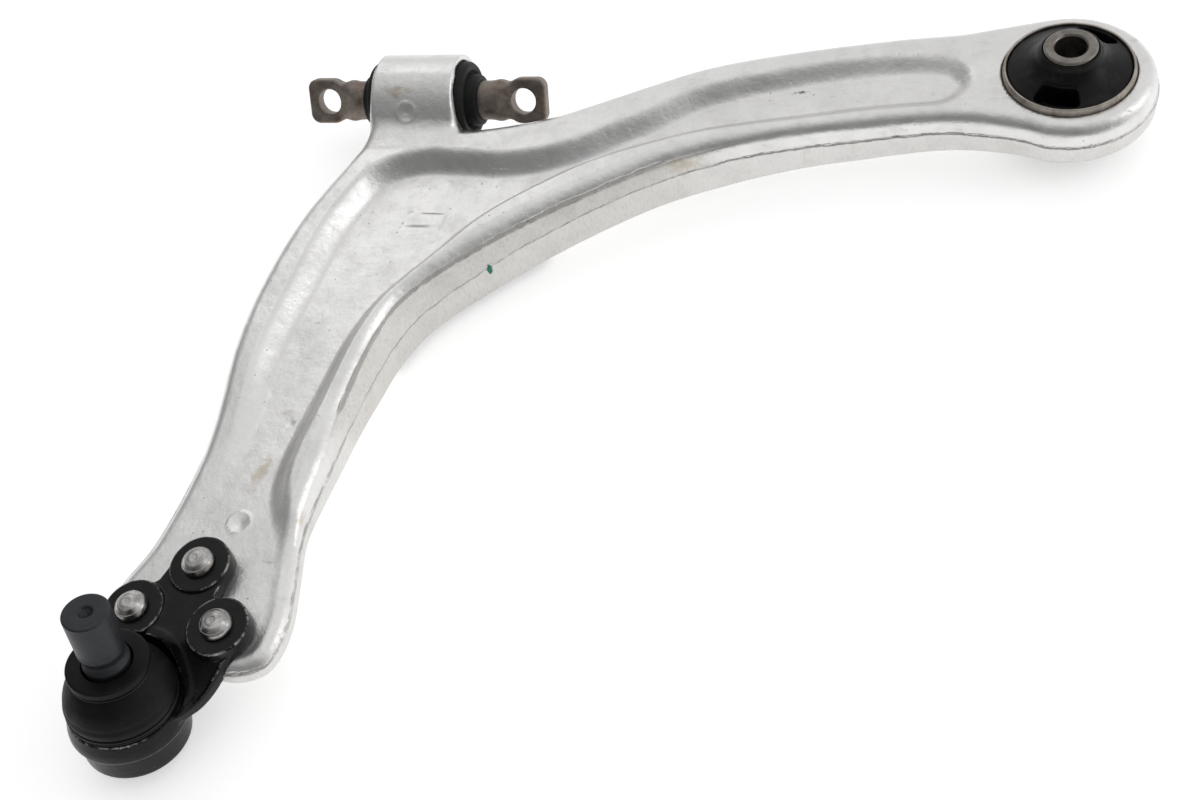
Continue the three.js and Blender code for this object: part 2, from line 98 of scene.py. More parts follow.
# the upper web opens on to the flat pad that carries the ball joint
PAD_EDGE = (
    (-350, -254), (-366, -265), (-382, -278), (-386, -310), (-384, -345), (-345, -350),
    (-307, -345), (-303, -329), (-300.5, -318), (-300.5, -303), (-303, -288), (-307, -272),
    (-314, -260),
)
LOWER_WEB_END = ((-338, -250), (-329, -254), (-321, -251))
EDGE_ROUND = 4.6
TRIM_TOP = -2.4
RIB_RUN = 11.5
DRAFT = 0.06

BARREL = np.array((-310.8, -16.7, -1.8))
BARREL_HALF = 20.9
BARREL_RADIUS = 22.5
BARREL_BORE = 19.4
PIN_RADIUS = 9.6
EAR_HALF_SPACING = 52.4
EAR_END = 63.8
EAR_HALF_HEIGHT = 11.2
EAR_THICKNESS = 7.0
EAR_HOLE_RADIUS = 6.3
EAR_TILT = math.radians(57)

CAN_RADIUS = 30.0
CAN_TOP = 2.7
CAN_BOTTOM = -22.7
SLEEVE_RADIUS = 12.1
SLEEVE_BORE = 7.1
SLEEVE_TOP = 14.5
SLEEVE_BOTTOM = -34.5

JOINT_BASE = np.array((-350.3, -347.8, -6.4))
JOINT_AXIS = np.array((0.1, 0.21, 0.9726))
JOINT_AXIS = JOINT_AXIS / np.linalg.norm(JOINT_AXIS)
BALL_RADIUS = 11.0
BALL_S = -9.8
CUP_RADIUS = 22.0
CUP_END_S = -24.2
BOOT_SEAT_RADIUS = 23.6
LUGS = ((-335.3, -289.6), (-357.2, -311.9), (-317.4, -316.2))
LUG_RADIUS = 13.1
LUG_TOP = 2.0
PLATE_TOP = 0.4
PLATE_BOTTOM = -5.2
RIVET_SHANK = 4.6
RIVET_HEAD = 7.0
STUD_RADIUS = 9.2
STUD_TOP_S = 55.0

CAMERA_PLACE = np.array((-17.8, -539.3, 498.5))
CAMERA_RIGHT = np.array((0.9631, 0.1924, -0.188))
CAMERA_UP = np.array((-0.0502, 0.8152, 0.5771))
CAMERA_LENS = 45.0


def placed(points):
    """Points in the drawing's millimetres as points of the model, in metres."""
    return (np.asarray(points, float) - ORIGIN) / 1000


# ------------------------------------------------------------------------------------------------
# Turned frames
# ------------------------------------------------------------------------------------------------
def turn_from_z(axis):
    """Rotation matrix that takes +Z to axis by the shortest way."""
    v = Vector((0, 0, 1)).rotation_difference(Vector(axis))
    return np.array(v.to_matrix(), float)


JOINT_TURN = turn_from_z(JOINT_AXIS)


def joint_point(r, s, angle=0.0):
    """A point on the ball joint: r from its axis and s along it."""
    return JOINT_BASE + JOINT_TURN @ np.array((r * math.cos(angle), r * math.sin(angle), s))


# ------------------------------------------------------------------------------------------------
# Distance fields: negative inside, in millimetres
# ------------------------------------------------------------------------------------------------
def smooth_outline(points, spacing):
    """Closed centripetal Catmull-Rom curve through plan points, sampled about every spacing mm."""
    p = np.array(points, float)
    n = len(p)
    out = []
    for i in range(n):
        a, b, c, d = p[i - 1], p[i], p[(i + 1) % n], p[(i + 2) % n]
        t0 = 0.0
        t1 = t0 + max(np.linalg.norm(b - a), 1e-6) ** 0.5
        t2 = t1 + max(np.linalg.norm(c - b), 1e-6) ** 0.5
        t3 = t2 + max(np.linalg.norm(d - c), 1e-6) ** 0.5
        count = max(1, int(np.linalg.norm(c - b) / spacing + 0.5))
        for t in np.linspace(t1, t2, count, endpoint=False):
            ab = a + (b - a) * (t - t0) / (t1 - t0)
            bc = b + (c - b) * (t - t1) / (t2 - t1)
            cd = c + (d - c) * (t - t2) / (t3 - t2)
            abc = ab + (bc - ab) * (t - t0) / (t2 - t0)
            bcd = bc + (cd - bc) * (t - t1) / (t3 - t1)
            out.append(abc + (bcd - abc) * (t - t1) / (t2 - t1))
    return np.array(out)


def polygon_distance(x, y, polygon):
    """Signed distance to a closed polygon, negative inside."""
    x = x.astype(np.float32)
    y = y.astype(np.float32)
    nearest = np.full(x.shape, 1e12, np.float32)
    inside = np.zeros(x.shape, bool)
    for (ax, ay), (bx, by) in zip(polygon, np.roll(polygon, -1, 0)):
        dx, dy = bx - ax, by - ay
        px, py = x - np.float32(ax), y - np.float32(ay)
        t = np.clip((px * dx + py * dy) / max(dx * dx + dy * dy, 1e-12), 0, 1)
        nearest = np.minimum(nearest, (px - t * dx) ** 2 + (py - t * dy) ** 2)
        if dy != 0:
            crosses = ((ay > y) != (by > y)) & (px < dx * py / dy)
            inside ^= crosses
    return np.where(inside, -1, 1) * np.sqrt(nearest)


def ease(t):
    t = np.clip(t, 0, 1)
    return t * t * (3 - 2 * t)


def both(a, b, r):
    """Intersection of two solids with an edge rounded to r."""
    u = np.maximum(a + r, 0)
    v = np.maximum(b + r, 0)
    return np.minimum(-r, np.maximum(a, b)) + np.sqrt(u * u + v * v)


def either(a, b, r):
    """Union of two solids with a fillet of about r between them."""
    return -both(-a, -b, r)


def without(a, b, r):
    return both(a, -b, r)


# ------------------------------------------------------------------------------------------------
# Meshing
# ------------------------------------------------------------------------------------------------
def net(values):
    """Surface net of a grid of field values: vertices in grid units and quads facing outwards."""
    inside = values < 0
    cells = tuple(n - 1 for n in values.shape)
    count = np.zeros(cells, np.uint8)
    for c in product((0, 1), repeat=3):
        count += inside[tuple(slice(o, o + n) for o, n in zip(c, cells))]
    active = (count > 0) & (count < 8)
    number = np.full(cells, -1, np.int64)
    index = np.argwhere(active)
    number[active] = np.arange(len(index))
    total = np.zeros((len(index), 3))
    crossed = np.zeros(len(index))
    for c in product((0, 1), repeat=3):
        for axis in range(3):
            if c[axis]:
                continue
            far = np.array(c)
            far[axis] = 1
            va = values[tuple((index + c).T)]
            vb = values[tuple((index + far).T)]
            cut = (va < 0) != (vb < 0)
            t = np.where(cut, va / np.where(cut, va - vb, 1), 0)
            place = np.array(c) + t[:, None] * (far - np.array(c))
            total += place * cut[:, None]
            crossed += cut
    vertices = index + total / crossed[:, None]
    quads = []
    for axis in range(3):
        j, k = [a for a in range(3) if a != axis]
        low = [slice(None)] * 3
        high = [slice(None)] * 3
        low[axis] = slice(0, -1)
        high[axis] = slice(1, None)
        solid_low = inside[tuple(low)]
        edge = np.argwhere(solid_low != inside[tuple(high)])
        edge = edge[(edge[:, j] > 0) & (edge[:, k] > 0)]
        edge = edge[(edge[:, j] < cells[j]) & (edge[:, k] < cells[k])]
        step_j = np.zeros(3, int)
        step_k = np.zeros(3, int)
        step_j[j] = 1
        step_k[k] = 1
        ring = [edge - step_j - step_k, edge - step_k, edge, edge - step_j]
        quad = np.stack([number[tuple(r.T)] for r in ring], 1)
        outward = solid_low[tuple(edge.T)] ^ (axis == 1)
        quad[~outward] = quad[~outward][:, ::-1]
        quads.append(quad)
    return vertices, np.concatenate(quads)


def slopes(field, p, h=0.15):
    g = np.empty_like(p)
    for axis in range(3):
        q = p.copy()
        q[:, axis] += h
        r = p.copy()
        r[:, axis] -= h
        g[:, axis] = (field(*q.T) - field(*r.T)) / (2 * h)
    return g


def meshed(field, low, high, step, on_grid=None):
    """Vertices, quads and normals of the surface where field is zero, inside the box."""
    axes = [np.arange(a, b + s, s) for a, b, s in zip(low, high, step)]
    if on_grid is None:
        values = field(*np.meshgrid(*axes, indexing="ij"))
    else:
        values = on_grid(*axes)
    p, quads = net(values)
    p = np.array([a[0] for a in axes]) + p * np.array(step)
    for _ in range(2):
        g = slopes(field, p)
        move = g * (field(*p.T) / np.maximum((g * g).sum(1), 0.05))[:, None]
        length = np.linalg.norm(move, axis=1)
        p -= move * np.minimum(1, 0.5 * min(step) / np.maximum(length, 1e-9))[:, None]
    g = slopes(field, p)
    normals = g / np.maximum(np.linalg.norm(g, axis=1), 1e-9)[:, None]
    return p, quads, normals


def make_object(name, points, faces, material, normals=None):
    """A smooth-shaded mesh object from points in the drawing's millimetres."""
    mesh = bpy.data.meshes.new(name)
    mesh.from_pydata(placed(points).tolist(), [], [tuple(f) for f in np.asarray(faces).tolist()]
                     if isinstance(faces, np.ndarray) else faces)
    mesh.polygons.foreach_set("use_smooth", np.ones(len(mesh.polygons), bool))
    if normals is not None:
        mesh.normals_split_custom_set_from_vertices(np.asarray(normals, float).tolist())
    mesh.materials.append(material)
    obj = bpy.data.objects.new(name, mesh)
    bpy.context.scene.collection.objects.link(obj)
    return obj


def rounded(profile, closed):
    """Replaces each corner [r, z, radius] of a profile by a small arc, as [r, z] points."""
    n = len(profile)
    out = []
    for i in range(n):
        corner = np.array(profile[i][:2], float)
        radius = profile[i][2] if len(profile[i]) > 2 else 0
        if radius == 0 or (not closed and i in (0, n - 1)):
            out.append(corner)
            continue
        before = np.array(profile[i - 1][:2], float) - corner
        after = np.array(profile[(i + 1) % n][:2], float) - corner
        reach = min(radius, 0.45 * np.linalg.norm(before), 0.45 * np.linalg.norm(after))
        a = corner + before / np.linalg.norm(before) * reach
        b = corner + after / np.linalg.norm(after) * reach
        for t in np.linspace(0, 1, 6):
            out.append((1 - t) ** 2 * a + 2 * t * (1 - t) * corner + t * t * b)
    return np.array(out)


def lathe(name, profile, material, place=None, segments=96, closed=True, keep=None):
    """Solid of revolution. profile is [r, z, corner radius]; place turns local points into the
    drawing's. keep limits it to the stretch of the profile between two heights."""
    ring = rounded(profile, closed)
    n = len(ring)
    joins = n if closed else n - 1
    edge = np.roll(ring, -1, 0) - ring
    if not closed:
        edge[-1] = edge[-2]
    length = np.linalg.norm(edge, axis=1)
    angle = np.linspace(0, 2 * math.pi, segments, endpoint=False)
    area = 0.5 * np.sum(ring[:, 0] * np.roll(ring[:, 1], -1) - np.roll(ring[:, 0], -1) * ring[:, 1])
    flip = area < 0
    points = []
    for r, z in ring:
        points.append(np.stack([r * np.cos(angle), r * np.sin(angle), np.full(segments, z)], 1))
    points = np.concatenate(points)
    faces = []
    for i in range(joins):
        if length[i] < 1e-6:
            continue
        j = (i + 1) % n
        if keep and not (keep[0] - 1e-6 <= (ring[i, 1] + ring[j, 1]) / 2 <= keep[1] + 1e-6):
            continue
        for k in range(segments):
            m = (k + 1) % segments
            quad = (i * segments + k, i * segments + m, j * segments + m, j * segments + k)
            faces.append(quad[::-1] if flip else quad)
    if place is not None:
        points = place(points)
    obj = make_object(name, points, faces, material)
    profile_place = np.repeat(ring, segments, 0)
    turned = np.stack([profile_place[:, 0], profile_place[:, 1], np.tile(angle, n)], 1) / 1000
    add_attribute(obj, "turned", turned)
    clean(obj)
    return obj


def add_attribute(obj, name, values):
    values = np.asarray(values, np.float32)
    kind = "FLOAT_VECTOR" if values.ndim == 2 else "FLOAT"
    made = obj.data.attributes.new(name, kind, "POINT")
    made.data.foreach_set("vector" if values.ndim == 2 else "value", values.ravel())


def clean(obj):
    """Joins points that fall together, drops loose ones and keeps crisp edges crisp."""
    import bmesh
    bm = bmesh.new()
    bm.from_mesh(obj.data)
    bmesh.ops.remove_doubles(bm, verts=bm.verts, dist=1e-6)
    loose = [v for v in bm.verts if not v.link_faces]
    bmesh.ops.delete(bm, geom=loose, context="VERTS")
    for edge in bm.edges:
        if len(edge.link_faces) == 2 and edge.calc_face_angle(0) > math.radians(40):
            edge.smooth = False
    bm.to_mesh(obj.data)
    bm.free()


def on_joint(points):
    return JOINT_BASE + points @ JOINT_TURN.T


def on_barrel(points):
    return BARREL + points[:, [2, 1, 0]] * np.array((1, 1, -1))


def finish_piece(obj, body, node):
    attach(obj, body)
    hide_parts(node)
    return obj


# ------------------------------------------------------------------------------------------------
# Materials
# ------------------------------------------------------------------------------------------------
class Look:
    """A material whose nodes are written as short calls. Lengths are in metres of the object."""

    def __init__(self, name, **constants):
        self.material = bpy.data.materials.new(name)
        self.material.use_nodes = True
        self.tree = self.material.node_tree
        self.shader = self.tree.nodes["Principled BSDF"]
        for socket, value in constants.items():
            self.shader.inputs[socket.replace("_", " ")].default_value = value
        self.place = self.tree.nodes.new("ShaderNodeTexCoord").outputs["Object"]

    def feed(self, node, index, value):
        if isinstance(value, bpy.types.NodeSocket):
            self.tree.links.new(value, node.inputs[index])
        else:
            node.inputs[index].default_value = value

    def noise(self, size, detail=4.0, rough=0.55, warp=0.0, stretch=None, place=None):
        """Noise from 0 to 1 with features about size metres across."""
        node = self.tree.nodes.new("ShaderNodeTexNoise")
        node.inputs["Scale"].default_value = 1 / size
        node.inputs["Detail"].default_value = detail
        node.inputs["Roughness"].default_value = rough
        node.inputs["Distortion"].default_value = warp
        vector = place or self.place
        if stretch:
            mapping = self.tree.nodes.new("ShaderNodeMapping")
            mapping.inputs["Scale"].default_value = stretch[0]
            mapping.inputs["Rotation"].default_value = stretch[1]
            self.tree.links.new(vector, mapping.inputs["Vector"])
            vector = mapping.outputs["Vector"]
        self.tree.links.new(vector, node.inputs["Vector"])
        return node.outputs["Fac"]

    def cells(self, size, feature="F1", place=None):
        node = self.tree.nodes.new("ShaderNodeTexVoronoi")
        node.feature = feature
        node.inputs["Scale"].default_value = 1 / size
        self.tree.links.new(place or self.place, node.inputs["Vector"])
        return node.outputs["Distance"]

    def attribute(self, name, output="Fac"):
        node = self.tree.nodes.new("ShaderNodeAttribute")
        node.attribute_name = name
        return node.outputs[output]

    def math(self, operation, a, b=0.0):
        node = self.tree.nodes.new("ShaderNodeMath")
        node.operation = operation
        self.feed(node, 0, a)
        self.feed(node, 1, b)
        return node.outputs[0]

    def fit(self, value, low, high, to_low=0.0, to_high=1.0):
        """value from low..high mapped smoothly to to_low..to_high, and held outside."""
        node = self.tree.nodes.new("ShaderNodeMapRange")
        node.interpolation_type = "SMOOTHSTEP"
        for index, v in enumerate((value, low, high, to_low, to_high)):
            self.feed(node, index, v)
        return node.outputs["Result"]

    def mix(self, factor, a, b):
        node = self.tree.nodes.new("ShaderNodeMix")
        node.data_type = "RGBA"
        self.feed(node, 0, factor)
        for index, colour in ((6, a), (7, b)):
            if isinstance(colour, tuple):
                colour = (*colour, 1.0)
            self.feed(node, index, colour)
        return node.outputs[2]

    def bump(self, height, depth, strength=1.0, under=None):
        """depth is the height in metres of a full step of the height value."""
        node = self.tree.nodes.new("ShaderNodeBump")
        node.inputs["Strength"].default_value = strength
        node.inputs["Distance"].default_value = depth
        self.tree.links.new(height, node.inputs["Height"])
        if under is not None:
            self.tree.links.new(under, node.inputs["Normal"])
        return node.outputs["Normal"]

    def done(self, colour, rough, normal):
        self.tree.links.new(colour, self.shader.inputs["Base Color"])
        self.tree.links.new(rough, self.shader.inputs["Roughness"])
        self.tree.links.new(normal, self.shader.inputs["Normal"])
        return self.material

    def rings(self, size):
        """Lathe marks: noise along the profile of a turned piece, the same all the way round."""
        split = self.tree.nodes.new("ShaderNodeSeparateXYZ")
        self.tree.links.new(self.attribute("turned", "Vector"), split.inputs[0])
        join = self.tree.nodes.new("ShaderNodeCombineXYZ")
        self.tree.links.new(split.outputs[0], join.inputs[0])
        self.tree.links.new(split.outputs[1], join.inputs[1])
        return self.noise(size, 3.0, 0.6, place=join.outputs[0])


def aluminium_look():
    look = Look("forged_aluminium", Metallic=1.0, IOR=1.45)
    above = look.attribute("above")
    trimmed = look.attribute("trimmed")
    broad = look.noise(0.035, 3.0, 0.5)
    patches = look.noise(0.011, 5.0, 0.62, 0.4)
    grain = look.noise(0.0006, 3.0, 0.7)
    hammered = look.noise(0.0021, 3.0, 0.55, 0.3)
    pits = look.fit(look.cells(0.0042), 0.0, 0.13, 1.0, 0.0)
    pits = look.math("MULTIPLY", pits, look.fit(look.noise(0.02, 3.0, 0.6), 0.5, 0.62))
    along = ((1.0, 9.0, 9.0), (0.0, 0.0, math.radians(-14)))
    down = ((9.0, 1.0, 9.0), (0.0, 0.0, math.radians(9)))
    streaks = look.noise(0.014, 6.0, 0.75, 0.2, along)
    scuffs = look.noise(0.012, 6.0, 0.8, 0.3, down)
    scratch = look.math("MULTIPLY", look.fit(streaks, 0.62, 0.70), look.fit(patches, 0.42, 0.58))
    wander = look.fit(look.noise(0.009, 5.0, 0.65), 0.25, 0.75, -0.5, 0.5)
    seam = look.math("ABSOLUTE", look.math("ADD", above, wander))
    broken = look.fit(look.noise(0.008, 5.0, 0.7), 0.35, 0.62, 0.25, 1.0)
    # painted shade: dark lines along the crease of the parting line and the step at the top of the trimmed
    # band
    seam_crease_shade = look.math("MULTIPLY", look.fit(seam, 0.1, 0.6, 1.0, 0.0), broken)
    trim_step_shade = look.fit(look.math("ADD", look.attribute("edge"), wander), 0.3, 1.2, 1.0, 0.0)
    crease_shade_lines = look.math("MAXIMUM", seam_crease_shade, trim_step_shade)
    ragged = look.fit(look.noise(0.0028, 6.0, 0.78, 0.3), 0.2, 0.8, -0.42, 0.42)
    scuffed = look.fit(look.math("ADD", look.attribute("scuffed"), ragged), 0.62, 0.80)
    blot = look.fit(look.noise(0.006, 6.0, 0.72, 0.5), 0.2, 0.8, -0.4, 0.4)
    stained = look.fit(look.math("ADD", look.attribute("stained"), blot), 0.42, 0.95)
    brown = look.fit(look.noise(0.020, 6.0, 0.70, 0.7), 0.60, 0.74)
    brown = look.math("MULTIPLY", brown, look.fit(seam, 0.5, 5.0, 0.8, 0.08))
    brown = look.math("MAXIMUM", brown, stained)
    painted = look.fit(look.math("ADD", look.attribute("painted"), look.math("MULTIPLY", ragged, 0.35)),
                       0.46, 0.54)
    hatch = look.noise(0.0007, 3.0, 0.6, 0.0, ((1.0, 1.0, 0.18), (0.0, 0.0, 0.0)))

    colour = look.mix(look.fit(broad, 0.3, 0.7), (0.755, 0.75, 0.745), (0.815, 0.81, 0.80))
    colour = look.mix(look.fit(patches, 0.48, 0.75, 0.0, 0.45), colour, (0.66, 0.655, 0.64))
    colour = look.mix(look.fit(scuffs, 0.55, 0.72, 0.0, 0.25), colour, (0.62, 0.61, 0.60))
    colour = look.mix(look.fit(hammered, 0.42, 0.70, 0.0, 0.16), colour, (0.60, 0.595, 0.58))
    colour = look.mix(look.math("MULTIPLY", trimmed, 0.7), colour, (0.665, 0.645, 0.615))
    colour = look.mix(look.math("MULTIPLY", look.fit(hatch, 0.45, 0.7), look.math("MULTIPLY", trimmed, 0.3)),
                      colour, (0.42, 0.405, 0.385))
    colour = look.mix(look.math("MULTIPLY", brown, 0.55), colour, (0.47, 0.38, 0.26))
    colour = look.mix(look.math("MULTIPLY", scratch, 0.35), colour, (0.95, 0.95, 0.94))
    # the painted crease shade darkens the parting line and the trim step
    colour = look.mix(look.math("MULTIPLY", crease_shade_lines, 0.5), colour, (0.26, 0.245, 0.225))
    colour = look.mix(look.math("MULTIPLY", pits, 0.5), colour, (0.25, 0.24, 0.22))
    colour = look.mix(look.math("MULTIPLY", scuffed, 0.8), colour, (0.14, 0.14, 0.135))
    colour = look.mix(painted, colour, (0.006, 0.17, 0.11))

    rough = look.fit(patches, 0.25, 0.8, 0.27, 0.42)
    rough = look.math("ADD", rough, look.fit(scuffs, 0.5, 0.75, 0.0, 0.10))
    rough = look.math("ADD", rough, look.math("MULTIPLY", trimmed, 0.16))
    rough = look.math("SUBTRACT", rough, look.math("MULTIPLY", scratch, 0.08))
    metal = look.math("SUBTRACT", 1.0, painted)
    look.tree.links.new(metal, look.shader.inputs["Metallic"])

    normal = look.bump(look.noise(0.018, 2.0, 0.5), 0.0010, 0.6)
    normal = look.bump(look.noise(0.0050, 4.0, 0.6), 0.00034, 0.7, normal)
    normal = look.bump(hammered, 0.00012, 0.8, normal)
    normal = look.bump(grain, 0.00008, 0.8, normal)
    normal = look.bump(look.math("MULTIPLY", hatch, trimmed), 0.00012, 0.7, normal)
    normal = look.bump(look.math("MULTIPLY", crease_shade_lines, -1.0), 0.0005, 0.9, normal)
    normal = look.bump(look.math("MULTIPLY", pits, -1.0), 0.0003, 0.8, normal)
    normal = look.bump(look.math("MULTIPLY", scuffed, -1.0), 0.0003, 0.8, normal)
    normal = look.bump(look.math("MULTIPLY", scratch, -1.0), 0.00010, 0.8, normal)
    return look.done(colour, rough, normal)


def black_coat_look():
    look = Look("black_coated_steel", Metallic=0.0, IOR=1.5, Specular_IOR_Level=0.22)
    mottle = look.noise(0.006, 4.0, 0.6)
    peel = look.noise(0.0011, 3.0, 0.5)
    speck = look.fit(look.cells(0.0035), 0.0, 0.11, 1.0, 0.0)
    speck = look.math("MULTIPLY", speck, look.fit(look.noise(0.012), 0.52, 0.6))
    rubbed = look.fit(look.noise(0.009, 6.0, 0.75, 0.6), 0.66, 0.74)
    colour = look.mix(look.fit(mottle, 0.3, 0.7), (0.004, 0.004, 0.004), (0.009, 0.009, 0.0085))
    patchy = look.fit(look.noise(0.007, 5.0, 0.7, 0.3), 0.42, 0.62)
    # painted highlight: light grey on sharply bent convex edges, standing in for glints of reflected light
    # on the coat
    edge_glint = look.math("MULTIPLY", look.fit(look.attribute("edge_glint"), 0.28, 0.55), patchy)
    colour = look.mix(look.math("MULTIPLY", rubbed, 0.25), colour, (0.12, 0.115, 0.11))
    colour = look.mix(look.math("MULTIPLY", speck, 0.5), colour, (0.22, 0.21, 0.20))
    colour = look.mix(look.math("MULTIPLY", edge_glint, 0.8), colour, (0.55, 0.55, 0.54))
    rough = look.fit(mottle, 0.25, 0.75, 0.20, 0.34)
    rough = look.math("ADD", rough, look.math("MULTIPLY", rubbed, 0.12))
    normal = look.bump(look.noise(0.007, 3.0, 0.5), 0.0004, 0.5)
    normal = look.bump(peel, 0.00010, 0.7, normal)
    normal = look.bump(speck, 0.0001, 0.7, normal)
    return look.done(colour, rough, normal)


def rubber_look(name, shade, low, high, dust, rings=False):
    look = Look(name, Metallic=0.0, IOR=1.5, Specular_IOR_Level=0.16)
    mottle = look.noise(0.008, 4.0, 0.6, 0.3)
    bloom = look.fit(look.noise(0.014, 5.0, 0.65, 0.5), 0.45, 0.75)
    speck = look.fit(look.cells(0.0030), 0.0, 0.14, 1.0, 0.0)
    speck = look.math("MULTIPLY", speck, look.fit(look.noise(0.016, 3.0, 0.6), 0.5, 0.62))
    colour = look.mix(look.fit(mottle, 0.3, 0.7), (shade,) * 3, (shade * 1.7,) * 3)
    colour = look.mix(look.math("MULTIPLY", bloom, dust), colour, (0.10, 0.098, 0.092))
    colour = look.mix(look.math("MULTIPLY", speck, dust * 1.6), colour, (0.30, 0.29, 0.27))
    rough = look.fit(mottle, 0.25, 0.75, low, high)
    rough = look.math("ADD", rough, look.math("MULTIPLY", bloom, 0.12))
    normal = look.bump(look.noise(0.0055, 3.0, 0.5), 0.00025, 0.5)
    normal = look.bump(look.noise(0.0005, 3.0, 0.7), 0.00005, 0.7, normal)
    if rings:
        normal = look.bump(look.rings(0.0018), 0.00008, 0.5, normal)
    return look.done(colour, rough, normal)


def steel_look(name, dark, light, low, high, tint=None, tinted=0.0, rings=0.0, metal=1.0, forged=0.0):
    """Bare or oxidised steel. rings is the depth of the turning marks, forged that of the skin."""
    look = Look(name, Metallic=metal)
    patches = look.noise(0.006, 5.0, 0.65, 0.4)
    fine = look.noise(0.0012, 4.0, 0.7)
    speck = look.fit(look.cells(0.0022), 0.0, 0.16, 1.0, 0.0)
    speck = look.math("MULTIPLY", speck, look.fit(look.noise(0.007, 3.0, 0.6), 0.5, 0.62))
    colour = look.mix(look.fit(patches, 0.3, 0.72), dark, light)
    if tint:
        rust = look.fit(look.noise(0.0075, 6.0, 0.7, 0.5), 0.48, 0.66)
        colour = look.mix(look.math("MULTIPLY", rust, tinted), colour, tint)
    colour = look.mix(look.math("MULTIPLY", speck, 0.5), colour, tuple(0.35 * c for c in dark))
    rough = look.fit(patches, 0.25, 0.8, low, high)
    normal = look.bump(fine, 0.00006 + forged * 0.2, 0.7)
    if forged:
        normal = look.bump(look.noise(0.004, 4.0, 0.6), forged, 0.7, normal)
    if rings:
        marks = look.rings(0.0006)
        normal = look.bump(marks, rings, 0.8, normal)
        rough = look.math("ADD", rough, look.fit(marks, 0.3, 0.7, -0.05, 0.05))
    normal = look.bump(look.math("MULTIPLY", speck, -1.0), 0.00008, 0.8, normal)
    return look.done(colour, rough, normal)


def plastic_look():
    look = Look("seat_plastic", Metallic=0.0, IOR=1.48, Subsurface_Weight=0.0)
    mottle = look.noise(0.005, 4.0, 0.6)
    colour = look.mix(mottle, (0.62, 0.60, 0.54), (0.74, 0.73, 0.68))
    rough = look.fit(mottle, 0.2, 0.8, 0.35, 0.5)
    normal = look.bump(look.rings(0.0012), 0.00005, 0.6)
    return look.done(colour, rough, normal)


ALUMINIUM = aluminium_look()
BLACK_COAT = black_coat_look()
BOOT_RUBBER = rubber_look("boot_rubber", 0.003, 0.46, 0.60, 0.06, rings=True)
BUSH_RUBBER = rubber_look("bush_rubber", 0.003, 0.28, 0.42, 0.20)
PIN_RUBBER = rubber_look("pin_bush_rubber", 0.010, 0.46, 0.60, 0.12, rings=True)
RIVET_STEEL = steel_look("rivet_steel", (0.30, 0.29, 0.285), (0.58, 0.57, 0.555), 0.20, 0.36,
                         tint=(0.20, 0.17, 0.15), tinted=0.5, rings=0.00014)
SLEEVE_STEEL = steel_look("sleeve_steel", (0.17, 0.16, 0.145), (0.28, 0.265, 0.24), 0.34, 0.48,
                          tint=(0.14, 0.11, 0.09), tinted=0.6, rings=0.0001)
CAN_STEEL = steel_look("can_steel", (0.30, 0.27, 0.235), (0.48, 0.45, 0.41), 0.34, 0.50,
                       tint=(0.20, 0.15, 0.11), tinted=0.6, rings=0.00006)
PIN_STEEL = steel_look("forged_pin_steel", (0.175, 0.148, 0.128), (0.30, 0.262, 0.228), 0.42, 0.58,
                       tint=(0.15, 0.075, 0.045), tinted=0.45, metal=0.85, forged=0.00025)
STUD_STEEL = steel_look("stud_steel", (0.022, 0.0235, 0.027), (0.034, 0.036, 0.041), 0.38, 0.50,
                        rings=0.00004, metal=0.55)
PLASTIC = plastic_look()


# ------------------------------------------------------------------------------------------------
# Arm forging
# ------------------------------------------------------------------------------------------------
def arc_points(radius, start, end, count):
    angles = np.radians(np.linspace(start, end, count))
    return [(radius * math.cos(a), radius * math.sin(a)) for a in angles]


